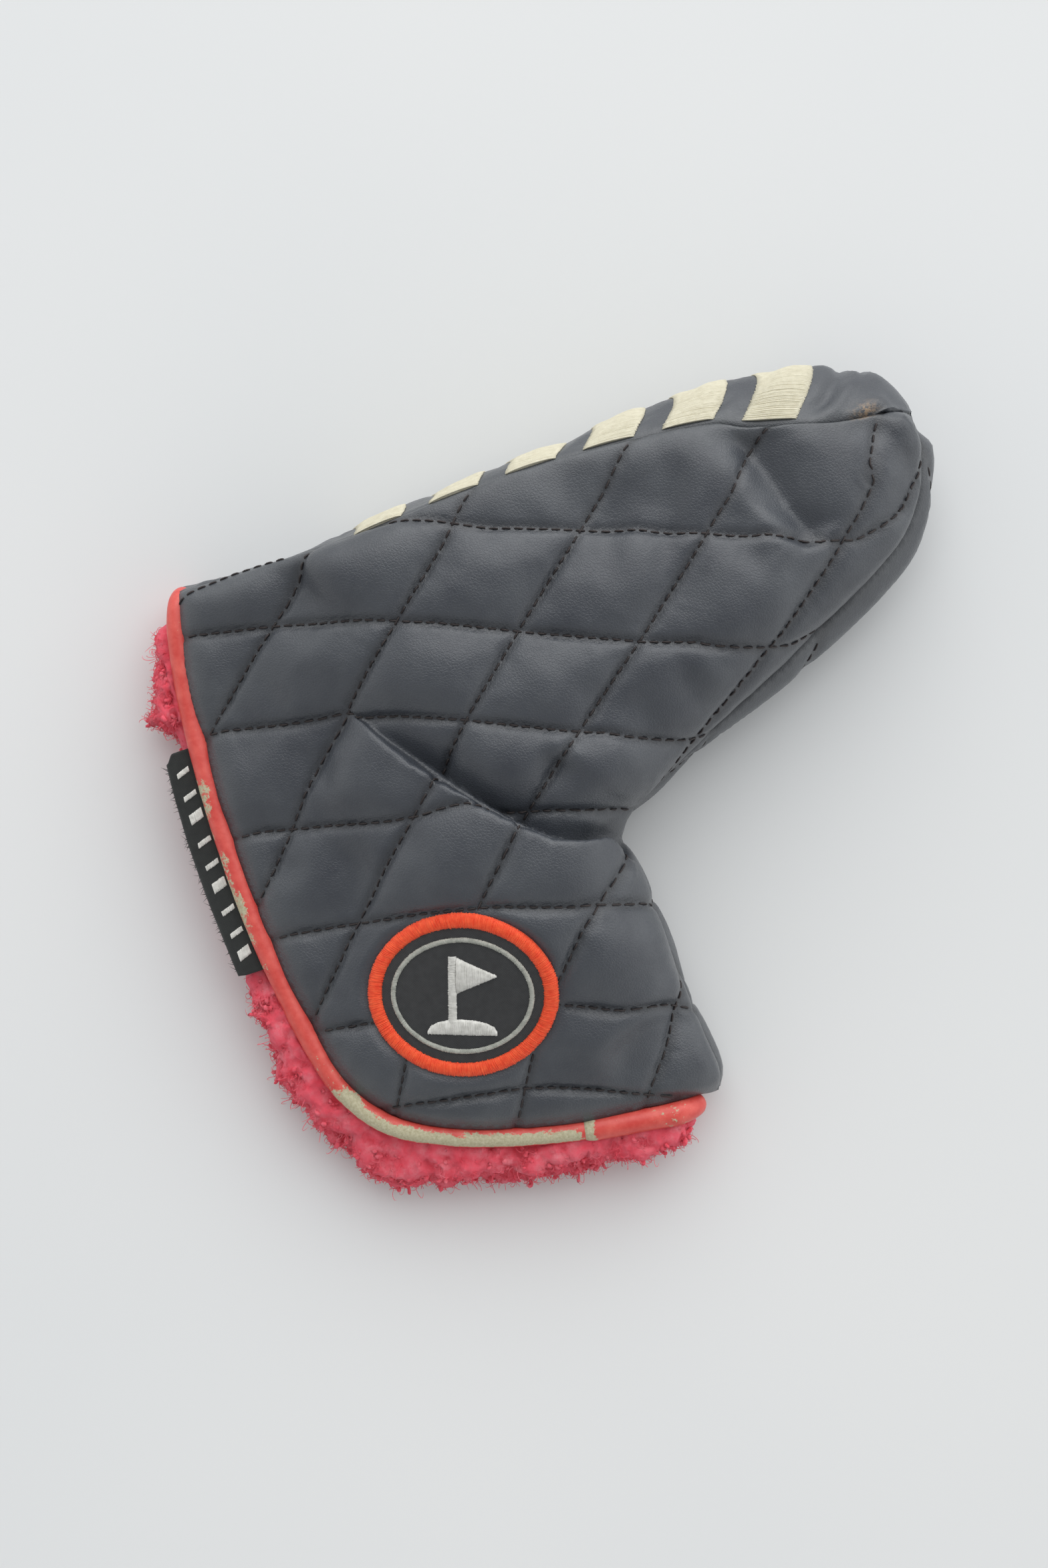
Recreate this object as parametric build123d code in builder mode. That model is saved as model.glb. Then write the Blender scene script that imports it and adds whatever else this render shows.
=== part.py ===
"""Blade putter head cover, lying on its far side. Millimetres, +X heel to toe, +Y to the sole, +Z up.

An L-shaped padded bag. The long arm holds the putter's blade, the short leg holds the hosel and shaft, and
the mouth runs down the heel edge and round to the end of the leg. Each wall is coated leather, foam and
fleece. The near side's lip, past the line from one end of the mouth to the other, lifts to open the mouth.
"""

from build123d import *
import os

# Wall, from the outside in
LEATHER = 1.3
FOAM = 2.7
FLEECE = 2.5
FOAM_IN = LEATHER
FLEECE_IN = LEATHER + FOAM
POCKET_IN = LEATHER + FOAM + FLEECE

# Thickness of the whole cover, from the floor up
BODY_HEIGHT = 38.0
MOUTH_HEIGHT = 18.0
SEAM_Z = 15.0
MOUTH_SEAM_Z = MOUTH_HEIGHT / 2
SEAM_FLAT_X = -58.0
SEAM_FLAT_Y = -50.0
SEAM_RISE = 36.0
TOE_END_TOP = 30.0
TOE_END_BOTTOM = 5.0
SOLE_TOP = 34.0
SOLE_BOTTOM = 2.0
EDGE_LEAN = 24.0

# Plan outline
HEEL_X = -82.0
SOLE_START = (-74.0, 69.5)
SOLE_CREST = (5.0, 75.2)
SOLE_END = (62.0, 75.4)
TOE_MIDDLE = (88.6, 53.0)
TOE_BOTTOM = (75.5, 25.5)
NOTCH = (-1.0, -8.5)
LEG_EDGE_END = (2.6, -80.0)
CORNER_SOFTNESS = 7.0
BEND_SOFTNESS = 30.0
PAST_MOUTH = 30.0
PAST_SOLE = 16.0

# The mouth's outer rim in plan: the heel edge, a tight corner, and the straight end of the leg
RIM_HEEL = ((-76.3, 74.0), (-82.6, 16.0), (-78.0, -60.0))
RIM_LEG = (6.0, -75.1)
RIM_CORNER = 24.0

# Piping round the rim
PIPING_RADIUS = 1.95
CORD_RADIUS = 1.3
PIPING_BORE = 1.35
NEAR_PIPING_Z = MOUTH_HEIGHT - PIPING_RADIUS - 0.02
FAR_PIPING_Z = PIPING_RADIUS + 0.02
LEATHER_EDGE = -2 * PIPING_RADIUS - 0.05
FLEECE_EDGE = 2.9
NEAR_HEEL_TRIM = 13.0
NEAR_LEG_TRIM = 7.4
FAR_HEEL_TRIM = 6.0
FAR_LEG_TRIM = 4.2
LAP_RADIUS = 2.4
LAP_LENGTH = 8.0
LAP_AT = 0.6

# The lip's fold line, from the heel end of the mouth to its leg end
FOLD_HEEL = (-76.0, 69.0)
FOLD_LEG = (0.8, -71.0)
FOLD_GAP = 0.4

# Sole strip and its raised motif
STRIP_WRAP = 6.0
MOTIF_HEIGHT = 0.8
MOTIF_COUNT = 6
MOTIF_PITCH = 18.6
MOTIF_START_X = -38.0
MOTIF_WIDTH = 12.0
MOTIF_LEAN = 8.0
MOTIF_Z = (8.0, 28.0)
MOTIF_BASE = 2.0

# Badge on the lip
BADGE_CENTRE = (-44.3, -30.3)
BADGE_TURN = -18.8
BADGE_RADII = (20.3, 17.6)
BADGE_RIM = 2.9
BADGE_RING_INSET = 5.2
BADGE_RING = 0.9
BADGE_CLOTH = 0.5
BADGE_THREAD = 1.1

# Woven label on the heel edge, and the strips that close the mouth
LABEL_Y = (-12.0, 39.0)
LABEL_X = (-88.6, -83.2)
LABEL_Z = 15.1
LABEL_THICKNESS = 1.4
STRIP_Y = (-22.0, 44.0)
STRIP_WIDTH = 11.0
STRIP_EDGE = -6.0
STRIP_DEPTH = 2.0

FAR = 240.0


def plan_outline(inset, sole_out=0.0):
    """Plan of the closed edges, run on past the mouth and moved in by inset; sole_out pushes the sole out."""
    with BuildSketch() as plan:
        with BuildLine():
            past_heel = HEEL_X - PAST_MOUTH
            past_leg = LEG_EDGE_END[1] - PAST_MOUTH
            start, crest, end = [(p[0], p[1] + sole_out) for p in (SOLE_START, SOLE_CREST, SOLE_END)]
            sole_past = (past_heel, start[1] - 4.0)
            Line(sole_past, start)
            ThreePointArc(start, crest, end)
            ThreePointArc(end, TOE_MIDDLE, TOE_BOTTOM)
            leg_past = (LEG_EDGE_END[0], past_leg)
            Polyline(TOE_BOTTOM, NOTCH, LEG_EDGE_END, leg_past, (past_heel, past_leg), sole_past)
        make_face()
        notch = plan.vertices().sort_by_distance((*NOTCH, 0))[0]
        fillet(notch, CORNER_SOFTNESS)
        if inset:
            offset(amount=-inset, kind=Kind.INTERSECTION)
    return plan.sketch


def section(plane, points, inset):
    """A closed section on a plane, moved in by inset, its upper bends eased."""
    with BuildSketch(plane) as profile:
        with BuildLine():
            Polyline(*points, close=True)
        make_face()
        if inset:
            offset(amount=-inset, kind=Kind.INTERSECTION)
        upper = profile.vertices().filter_by(lambda v: -75 < v.X < 62 and v.Y > MOUTH_HEIGHT / 2)
        hollow = upper.filter_by(lambda v: v.Y < MOUTH_HEIGHT + 1.5)
        crown = upper.filter_by(lambda v: v.Y > MOUTH_HEIGHT + 1.5)
        fillet(hollow, BEND_SOFTNESS + inset)
        fillet(crown, BEND_SOFTNESS - inset)
    return profile.sketch


HEEL_TO_TOE = (
    (-FAR, 0),
    (-FAR, MOUTH_HEIGHT),
    (-62, MOUTH_HEIGHT),
    (-24, BODY_HEIGHT),
    (56, BODY_HEIGHT),
    (96, TOE_END_TOP),
    (96, TOE_END_BOTTOM),
    (64, 0),
)
LEG_TO_SOLE = (
    (-FAR, 0),
    (-FAR, MOUTH_HEIGHT),
    (-53, MOUTH_HEIGHT),
    (-15, BODY_HEIGHT),
    (50, BODY_HEIGHT),
    (84, SOLE_TOP),
    (84, SOLE_BOTTOM),
    (56, 0),
)


def envelope(inset):
    """The solid inside the cover's outer surface moved in by inset, run on past the mouth."""
    with BuildPart() as body:
        leaning = plan_outline(inset, PAST_SOLE).moved(Location((0, 0, SEAM_Z)))
        extrude(leaning, amount=BODY_HEIGHT, taper=EDGE_LEAN)
        mirror(about=Plane.XY.offset(SEAM_Z))
        extrude(plan_outline(inset), amount=FAR, both=True, mode=Mode.INTERSECT)
        extrude(section(Plane.XZ, HEEL_TO_TOE, inset), amount=FAR, both=True, mode=Mode.INTERSECT)
        extrude(section(Plane.YZ, LEG_TO_SOLE, inset), amount=FAR, both=True, mode=Mode.INTERSECT)
    return body.part



def rim_outline(outward):
    """Plan of everything on the cover's side of the mouth's rim, the rim moved out by outward."""
    with BuildSketch() as inside:
        with BuildLine():
            ThreePointArc(*RIM_HEEL)
            Polyline(RIM_HEEL[2], RIM_LEG, (FAR, RIM_LEG[1]), (FAR, FAR), (RIM_HEEL[0][0], FAR), RIM_HEEL[0])
        make_face()
        corner = inside.vertices().sort_by_distance((*RIM_HEEL[2], 0))[0]
        fillet(corner, RIM_CORNER)
        offset(amount=outward, kind=Kind.INTERSECTION)
    return inside.sketch


def rim_path(heel_trim, leg_trim):
    """The piping's line on the floor plane, from its heel end to its leg end, each end cut short."""
    edges = rim_outline(-PIPING_RADIUS).edges()
    whole = Wire(edges.filter_by(lambda e: (e @ 0.5).X < 20 and (e @ 0.5).Y < 60 and e.length < FAR))
    return whole.trim(heel_trim / whole.length, 1 - leg_trim / whole.length)


def column(sketch):
    """A tall prism over a plan sketch."""
    return extrude(sketch, amount=FAR, mode=Mode.PRIVATE)


def fold_outline(side):
    """Plan of the half plane on one side of the fold: -1 the lip, 1 the rest of the cover."""
    along = (Vector(*FOLD_LEG) - Vector(*FOLD_HEEL)).normalized()
    across = Vector(-along.Y, along.X) * side
    start = Vector(*FOLD_HEEL) + across * FOLD_GAP / 2
    with BuildSketch() as half:
        with BuildLine():
            Polyline(
                start - along * FAR,
                start + along * FAR,
                start + along * FAR + across * FAR,
                start - along * FAR + across * FAR,
                close=True,
            )
        make_face()
    return half.sketch


def sole_outline():
    """Plan of the band along the sole that the strip covers."""
    with BuildSketch() as band:
        with BuildLine():
            start, crest, end = [(p[0], p[1] - STRIP_WRAP) for p in (SOLE_START, SOLE_CREST, SOLE_END)]
            sole_past = (HEEL_X - PAST_MOUTH, start[1] - 4.0)
            Line(sole_past, start)
            ThreePointArc(start, crest, end)
            Polyline(end, (FAR, end[1] - 0.28 * (FAR - end[0])), (FAR, FAR), (sole_past[0], FAR), sole_past)
        make_face()
    return band.sketch


WALLS = {depth: envelope(depth) for depth in (-BADGE_THREAD, -BADGE_CLOTH, -MOTIF_HEIGHT, 0)}
WALLS.update({depth: envelope(depth) for depth in (FOAM_IN, FLEECE_IN, POCKET_IN, POCKET_IN + STRIP_DEPTH)})
WITHIN_LEATHER = column(rim_outline(LEATHER_EDGE))
WITHIN_FLEECE = column(rim_outline(FLEECE_EDGE))
SOLE_BAND = column(sole_outline())
LIP_SIDE = column(fold_outline(-1))
BODY_SIDE = column(fold_outline(1))


def above_seam_from(plane, mouth_end):
    """Everything above the seam's height, low at the mouth and rising to the body along one direction."""
    with BuildSketch(plane) as above:
        with BuildLine():
            Polyline(
                (-FAR, FAR),
                (-FAR, MOUTH_SEAM_Z),
                (mouth_end, MOUTH_SEAM_Z),
                (mouth_end + SEAM_RISE, SEAM_Z),
                (FAR, SEAM_Z),
                (FAR, FAR),
                close=True,
            )
        make_face()
    return extrude(above.sketch, amount=FAR, both=True)


ABOVE_SEAM = above_seam_from(Plane.XZ, SEAM_FLAT_X) + above_seam_from(Plane.YZ, SEAM_FLAT_Y)


def layer(outer, inner, edge):
    """One layer of the wall between two depths, trimmed at the mouth."""
    return (WALLS[outer] & edge) - WALLS[inner]


def biggest(pieces):
    """The largest solid of a cut, without the crumbs at a sharp corner."""
    return pieces.solids().sort_by(SortBy.VOLUME).last


LEATHER_SHELL = layer(0, FOAM_IN, WITHIN_LEATHER)
FOAM_SHELL = layer(FOAM_IN, FLEECE_IN, WITHIN_LEATHER)
FLEECE_SHELL = layer(FLEECE_IN, POCKET_IN, WITHIN_FLEECE)


def keep(builder, name):
    """Name a finished piece and write it out."""
    builder.part.label = name
    export_step(builder.part, f"parts/{name}.step")


os.makedirs("parts", exist_ok=True)

# Near side, the wall that faces up: the body's part of it, then the lip beyond the fold
with BuildPart() as near_side_panel:
    add((LEATHER_SHELL & ABOVE_SEAM & BODY_SIDE) - SOLE_BAND)
keep(near_side_panel, "near_side_panel")

with BuildPart() as near_side_padding:
    add((FOAM_SHELL & ABOVE_SEAM & BODY_SIDE) - SOLE_BAND)
keep(near_side_padding, "near_side_padding")

with BuildPart() as near_side_lining:
    add((FLEECE_SHELL & ABOVE_SEAM & BODY_SIDE) - SOLE_BAND)
keep(near_side_lining, "near_side_lining")

with BuildPart() as near_lip_panel:
    add(biggest((LEATHER_SHELL & ABOVE_SEAM & LIP_SIDE) - SOLE_BAND))
keep(near_lip_panel, "near_lip_panel")

with BuildPart() as near_lip_padding:
    add((FOAM_SHELL & ABOVE_SEAM & LIP_SIDE) - SOLE_BAND)
keep(near_lip_padding, "near_lip_padding")

with BuildPart() as near_lip_lining:
    add((FLEECE_SHELL & ABOVE_SEAM & LIP_SIDE) - SOLE_BAND)
keep(near_lip_lining, "near_lip_lining")

# Far side, the wall that faces down
with BuildPart() as far_side_panel:
    add(LEATHER_SHELL - ABOVE_SEAM - SOLE_BAND)
keep(far_side_panel, "far_side_panel")

with BuildPart() as far_side_padding:
    add(FOAM_SHELL - ABOVE_SEAM - SOLE_BAND)
keep(far_side_padding, "far_side_padding")

with BuildPart() as far_side_lining:
    add(FLEECE_SHELL - ABOVE_SEAM - SOLE_BAND)
keep(far_side_lining, "far_side_lining")

# The strip along the sole, over both sides' edges
with BuildPart() as sole_gusset:
    add(LEATHER_SHELL & SOLE_BAND)
keep(sole_gusset, "sole_gusset")

with BuildPart() as sole_gusset_padding:
    add(FOAM_SHELL & SOLE_BAND)
keep(sole_gusset_padding, "sole_gusset_padding")

with BuildPart() as sole_gusset_lining:
    add(FLEECE_SHELL & SOLE_BAND)
keep(sole_gusset_lining, "sole_gusset_lining")

# Raised motif on the strip: leaning bars joined by a line along their feet
with BuildSketch(Plane.XZ.offset(-SOLE_START[1])) as bars:
    bar_low, bar_high = MOTIF_Z
    for i in range(MOTIF_COUNT):
        foot = MOTIF_START_X + i * MOTIF_PITCH
        with BuildLine():
            Polyline(
                (foot, bar_low),
                (foot + MOTIF_WIDTH, bar_low),
                (foot + MOTIF_WIDTH + MOTIF_LEAN, bar_high),
                (foot + MOTIF_LEAN, bar_high),
                close=True,
            )
        make_face()
    run = (MOTIF_COUNT - 1) * MOTIF_PITCH + MOTIF_WIDTH
    with Locations((MOTIF_START_X, bar_low)):
        Rectangle(run, MOTIF_BASE, align=(Align.MIN, Align.MIN))
with BuildPart() as sole_embroidery:
    bar_run = extrude(bars.sketch, amount=-FAR, mode=Mode.PRIVATE)
    add((WALLS[-MOTIF_HEIGHT] & bar_run) - WALLS[0])
keep(sole_embroidery, "sole_embroidery")


def tube(path, z, radius, bore):
    """A round tube or cord along a path at a height."""
    raised = path.moved(Location((0, 0, z)))
    start = Plane(origin=raised @ 0, z_dir=raised % 0)
    with BuildSketch(start) as round_section:
        Circle(radius)
        if bore:
            Circle(bore, mode=Mode.SUBTRACT)
    return sweep(round_section.sketch, path=raised)


# Piping round the rim, a leather tube over a cord: one run on each lip
NEAR_RIM = rim_path(NEAR_HEEL_TRIM, NEAR_LEG_TRIM)
FAR_RIM = rim_path(FAR_HEEL_TRIM, FAR_LEG_TRIM)
with BuildPart() as near_mouth_piping:
    add(tube(NEAR_RIM, NEAR_PIPING_Z, PIPING_RADIUS, PIPING_BORE))
keep(near_mouth_piping, "near_mouth_piping")

with BuildPart() as near_mouth_piping_cord:
    add(tube(NEAR_RIM, NEAR_PIPING_Z, CORD_RADIUS, 0))
keep(near_mouth_piping_cord, "near_mouth_piping_cord")

with BuildPart() as far_mouth_piping:
    add(tube(FAR_RIM, FAR_PIPING_Z, PIPING_RADIUS, PIPING_BORE))
keep(far_mouth_piping, "far_mouth_piping")

with BuildPart() as far_mouth_piping_cord:
    add(tube(FAR_RIM, FAR_PIPING_Z, CORD_RADIUS, 0))
keep(far_mouth_piping_cord, "far_mouth_piping_cord")

# Sleeve where the piping's two ends lap, on the straight end of the leg
LAP_LINE = NEAR_RIM.edges().sort_by(Axis.Y).first
LAP_PLANE = Plane(origin=(LAP_LINE @ LAP_AT) + Vector(0, 0, NEAR_PIPING_Z), z_dir=LAP_LINE % LAP_AT)
with BuildPart() as piping_lap:
    with BuildSketch(LAP_PLANE):
        Circle(LAP_RADIUS)
        Circle(PIPING_RADIUS + 0.02, mode=Mode.SUBTRACT)
    extrude(amount=LAP_LENGTH / 2, both=True)
    add(WITHIN_LEATHER, mode=Mode.SUBTRACT)
    add(WALLS[FLEECE_IN], mode=Mode.SUBTRACT)
keep(piping_lap, "piping_lap")


def badge_oval(inset):
    """Plan of the badge's oval moved in by inset."""
    with BuildSketch() as oval:
        with Locations(Location((*BADGE_CENTRE, 0), (0, 0, BADGE_TURN))):
            Ellipse(BADGE_RADII[0] - inset, BADGE_RADII[1] - inset)
    return oval.sketch


def ring(outer_inset, width):
    """Plan of a ring following the badge's oval."""
    return badge_oval(outer_inset) - badge_oval(outer_inset + width)


def raised(plan, low, high):
    """What a plan covers on the lip's outer face, between two heights above it."""
    return (WALLS[-high] & ABOVE_SEAM & column(plan)) - WALLS[-low]


# Badge on the lip: woven oval, satin border, thin inner ring and a pin flag
with BuildPart() as patch_base:
    add(raised(badge_oval(0), 0, BADGE_CLOTH))
keep(patch_base, "patch_base")

with BuildPart() as patch_border:
    add(raised(ring(0, BADGE_RIM), BADGE_CLOTH, BADGE_THREAD))
keep(patch_border, "patch_border")

with BuildPart() as patch_inner_ring:
    add(raised(ring(BADGE_RING_INSET, BADGE_RING), BADGE_CLOTH, BADGE_THREAD))
keep(patch_inner_ring, "patch_inner_ring")

with BuildSketch() as flag:
    with Locations(Location((*BADGE_CENTRE, 0), (0, 0, BADGE_TURN))):
        with Locations((-2.0, 0.5)):
            Rectangle(1.3, 14)
        with Locations((0, -6.8)):
            Ellipse(6.5, 1.5)
        with Locations((1.6, 4.6)):
            Polygon((-3.5, 3), (5, 0), (-3.5, -3), align=None)
with BuildPart() as patch_emblem:
    add(raised(flag.sketch, BADGE_CLOTH, BADGE_THREAD))
keep(patch_emblem, "patch_emblem")

# Woven label standing out past the heel edge, held under the piping
with BuildPart() as woven_label:
    label_middle = ((LABEL_X[0] + LABEL_X[1]) / 2, sum(LABEL_Y) / 2, LABEL_Z)
    with Locations(label_middle):
        Box(LABEL_X[1] - LABEL_X[0], LABEL_Y[1] - LABEL_Y[0], LABEL_THICKNESS)
    fillet(woven_label.edges().filter_by(Axis.Z).group_by(Axis.X)[0], 3)
keep(woven_label, "woven_label")

# Hook and loop strips inside the heel edge, one on each lip's lining
STRIP_PLAN = rim_outline(STRIP_EDGE) - rim_outline(STRIP_EDGE - STRIP_WIDTH)
with BuildSketch() as strip_run:
    with Locations((HEEL_X, sum(STRIP_Y) / 2)):
        Rectangle(60, STRIP_Y[1] - STRIP_Y[0])
STRIP_COLUMN = column(STRIP_PLAN & strip_run.sketch)
STRIP_SHELL = (WALLS[POCKET_IN] - WALLS[POCKET_IN + STRIP_DEPTH]) & STRIP_COLUMN
with BuildPart() as loop_strip:
    add(STRIP_SHELL & ABOVE_SEAM)
keep(loop_strip, "loop_strip")

with BuildPart() as hook_strip:
    add(STRIP_SHELL - ABOVE_SEAM)
keep(hook_strip, "hook_strip")
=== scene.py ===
"""Looks of the blade putter head cover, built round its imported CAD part.

Lengths are in mm until a mesh is made."""
import math
from collections import namedtuple

import bpy
import numpy as np
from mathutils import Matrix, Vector, geometry
from mathutils.bvhtree import BVHTree


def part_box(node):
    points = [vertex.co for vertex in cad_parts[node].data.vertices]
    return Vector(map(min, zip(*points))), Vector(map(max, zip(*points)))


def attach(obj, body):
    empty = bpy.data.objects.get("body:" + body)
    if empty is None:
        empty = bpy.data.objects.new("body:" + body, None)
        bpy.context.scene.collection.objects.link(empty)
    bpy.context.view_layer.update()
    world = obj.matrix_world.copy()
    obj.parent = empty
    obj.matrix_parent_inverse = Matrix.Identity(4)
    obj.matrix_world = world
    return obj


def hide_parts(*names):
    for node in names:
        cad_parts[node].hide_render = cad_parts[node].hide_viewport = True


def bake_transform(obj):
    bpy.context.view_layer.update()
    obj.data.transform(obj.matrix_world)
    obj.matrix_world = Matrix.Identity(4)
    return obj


MM = 0.001
PICTURE_TURN = math.radians(-18.8)  # of the picture's upright in the part's frame, and of the badge
UP = np.array([0.0, 0, 1])
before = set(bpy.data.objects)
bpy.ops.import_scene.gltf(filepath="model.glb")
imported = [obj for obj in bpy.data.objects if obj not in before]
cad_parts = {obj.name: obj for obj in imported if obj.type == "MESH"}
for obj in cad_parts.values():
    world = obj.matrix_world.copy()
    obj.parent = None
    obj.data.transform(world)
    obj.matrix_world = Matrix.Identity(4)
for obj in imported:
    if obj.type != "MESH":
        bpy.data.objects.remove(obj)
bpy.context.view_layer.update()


def cad_box(node):
    """Lowest and highest corner of a CAD node in mm."""
    low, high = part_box(node)
    return np.array(low) / MM, np.array(high) / MM


BODY_TOP = cad_box("near_side_panel")[1][2]
PIPE_LOW, PIPE_HIGH = cad_box("near_mouth_piping")
MOUTH_TOP = PIPE_HIGH[2]
PIPE_RADIUS = (PIPE_HIGH[2] - PIPE_LOW[2]) / 2
NEAR_PIPE_Z = (PIPE_HIGH[2] + PIPE_LOW[2]) / 2
FAR_PIPE_Z = PIPE_RADIUS + 0.35  # just off the floor

# ---- numbers and lines


def smooth(x, low, high):
    """0 before low, 1 after high, eased between."""
    t = np.clip((x - low) / (high - low), 0, 1)
    return t * t * (3 - 2 * t)


def lengths(line):
    """The length along a polyline at each of its points."""
    return np.r_[0, np.cumsum(np.linalg.norm(np.diff(line, axis=0), axis=1))]


def points_at(line, at):
    """Points at lengths along a polyline."""
    runs = lengths(line)
    return np.stack([np.interp(at, runs, line[:, k]) for k in range(line.shape[1])], -1)


def resample(line, step):
    """Points evenly spaced along a polyline."""
    length = lengths(line)[-1]
    return points_at(line, np.linspace(0, length, max(2, int(round(length / step)) + 1)))


def at_share(line, share):
    """Points at shares of a polyline's length."""
    return points_at(line, share * lengths(line)[-1])


def spline(points, step):
    """A smooth curve through given points."""
    p = np.array(points, float)
    p = np.vstack([2 * p[0] - p[1], p, 2 * p[-1] - p[-2]])
    t = np.linspace(0, 1, 24, endpoint=False)[:, None]
    out = []
    for i in range(1, len(p) - 2):
        a, b, c, d = p[i - 1 : i + 3]
        square, cube = 2 * a - 5 * b + 4 * c - d, 3 * b - a - 3 * c + d
        out.append(0.5 * (2 * b + (c - a) * t + square * t**2 + cube * t**3))
    out.append(p[-2][None])
    return resample(np.vstack(out), step)


def near_line(p, line):
    """For plan points: distance to a polyline, the point on it with any extra columns, the share along it, and
    the side (1 left)."""
    a, ab = line[:-1], np.diff(line, axis=0)
    plan = ab[:, :2]
    square = np.maximum((plan * plan).sum(1), 1e-12)
    runs = np.r_[0, np.cumsum(np.sqrt(square))]
    distance, foot, share, side = [], [], [], []
    for i in range(0, len(p), 1500):
        ap = p[i : i + 1500, None, :2] - a[None, :, :2]
        t = np.clip((ap * plan).sum(2) / square, 0, 1)
        gap = ap - t[..., None] * plan
        d = np.sqrt((gap * gap).sum(2))
        j = d.argmin(1)
        n = np.arange(len(j))
        distance.append(d[n, j])
        foot.append(a[j] + t[n, j][:, None] * ab[j])
        share.append((runs[j] + t[n, j] * np.sqrt(square[j])) / runs[-1])
        side.append(np.sign(plan[j, 0] * ap[n, j, 1] - plan[j, 1] * ap[n, j, 0]))
    return np.concatenate(distance), np.vstack(foot), np.concatenate(share), np.concatenate(side)


def inside(p, ring):
    """True for plan points inside a closed ring."""
    a, b = ring, np.roll(ring, -1, 0)
    out = []
    for i in range(0, len(p), 1500):
        x, y = p[i : i + 1500, None, 0], p[i : i + 1500, None, 1]
        cross = (a[:, 1] > y) != (b[:, 1] > y)
        rise = np.where(b[:, 1] == a[:, 1], 1e-9, b[:, 1] - a[:, 1])
        out.append((cross & (x < (b[:, 0] - a[:, 0]) * (y - a[:, 1]) / rise + a[:, 0])).sum(1) % 2 == 1)
    return np.concatenate(out)


def lattice(i, seed):
    """A fixed value from -1 to 1 for each lattice cell."""
    h = (i[:, 0] * 374761393 + i[:, 1] * 668265263 + i[:, 2] * 1440662683 + seed * 1274126177) & 0xFFFFFFFF
    h = ((h ^ (h >> 13)) * 1274126177) & 0xFFFFFFFF
    return ((h ^ (h >> 16)) & 0xFFFF) / 32767.5 - 1


def noise(p, size, seed=0):
    """Smooth noise from -1 to 1 with lumps of a size."""
    p = np.asarray(p, float)
    if p.shape[1] == 2:
        p = flat(p)
    q = p / size
    i = np.floor(q).astype(np.int64)
    f = q - i
    f = f * f * (3 - 2 * f)
    total = np.zeros(len(p))
    for corner in range(8):
        step = np.array([corner & 1, corner >> 1 & 1, corner >> 2 & 1])
        weight = np.where(step, f, 1 - f).prod(1)
        total += weight * lattice(i + step, seed)
    return total


def fractal(p, size, seed=0, layers=3):
    """Noise with finer layers added."""
    return sum(noise(p, size / 2**k, seed + 7 * k) / 1.7**k for k in range(layers))


def unit(v):
    """Vectors scaled to length 1."""
    return v / np.maximum(np.linalg.norm(v, axis=-1, keepdims=True), 1e-12)


def flat(plan, z=0.0):
    """Points with the same last coordinate added to each."""
    return np.c_[plan, np.full(len(plan), z)]


def closed_line(ring):
    """A ring with its first point again at its end."""
    return np.vstack([ring, ring[:1]])


def bell(x, width):
    """1 at 0, falling off over a width to both sides."""
    return np.exp(-((x / width) ** 2))


# ---- meshes


def make(name, verts, faces):
    """A smooth-shaded mesh object from mm vertices."""
    mesh = bpy.data.meshes.new(name)
    faces = faces if isinstance(faces, list) else faces.tolist()
    mesh.from_pydata((np.asarray(verts, float) * MM).tolist(), [], faces)
    mesh.validate()
    mesh.polygons.foreach_set("use_smooth", [True] * len(mesh.polygons))
    where = np.zeros(len(mesh.vertices) * 3, np.float32)
    mesh.vertices.foreach_get("co", where)
    mesh.attributes.new("place", "FLOAT_VECTOR", "POINT").data.foreach_set("vector", where / MM)
    obj = bpy.data.objects.new(name, mesh)
    bpy.context.scene.collection.objects.link(obj)
    return obj


def paint(obj, name, values):
    """A number at each vertex, for the material to read."""
    layer = obj.data.attributes.new(name, "FLOAT", "POINT")
    layer.data.foreach_set("value", np.asarray(values, np.float32))


def fill(ring, spacing, seed=1, lines=()):
    """Triangles over a closed plan ring, in loose rows, with points along any lines given."""
    low, high = ring.min(0), ring.max(0)
    rng = np.random.default_rng(seed)
    xs = np.arange(low[0], high[0], spacing)
    ys = np.arange(low[1], high[1], spacing * 0.866)
    gx, gy = np.meshgrid(xs, ys)
    gx = gx + (np.arange(len(ys)) % 2 * spacing / 2)[:, None]
    grid = np.c_[gx.ravel(), gy.ravel()] + rng.uniform(-0.12, 0.12, (gx.size, 2)) * spacing
    grid = grid[inside(grid, ring)]
    grid = grid[near_line(grid, closed_line(ring))[0] > 0.6 * spacing]
    for line in lines:
        line = resample(line, spacing * 0.8)
        line = line[inside(line, ring)]
        line = line[near_line(line, closed_line(ring))[0] > 0.5 * spacing]
        grid = np.vstack([grid[near_line(grid, line)[0] > 0.5 * spacing], line])
    points = np.vstack([ring, grid])
    verts, _, faces, _, _, _ = geometry.delaunay_2d_cdt(
        [Vector(p) for p in points], [], [list(range(len(ring)))], 1, 1e-5
    )
    return np.array([v[:] for v in verts]), np.array([f for f in faces if len(f) == 3])


def normals_of(verts, tris):
    """Vertex normals of a triangle mesh, weighted by area."""
    a, b, c = verts[tris[:, 0]], verts[tris[:, 1]], verts[tris[:, 2]]
    face = np.cross(b - a, c - a)
    out = np.zeros_like(verts)
    for k in range(3):
        np.add.at(out, tris[:, k], face)
    return unit(out)


def turned_to(verts, tris, want):
    """The triangles, all turned round if on average they face away from a direction, or from one per vertex."""
    return tris if (normals_of(verts, tris) * want).sum() >= 0 else tris[:, ::-1]


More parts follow.
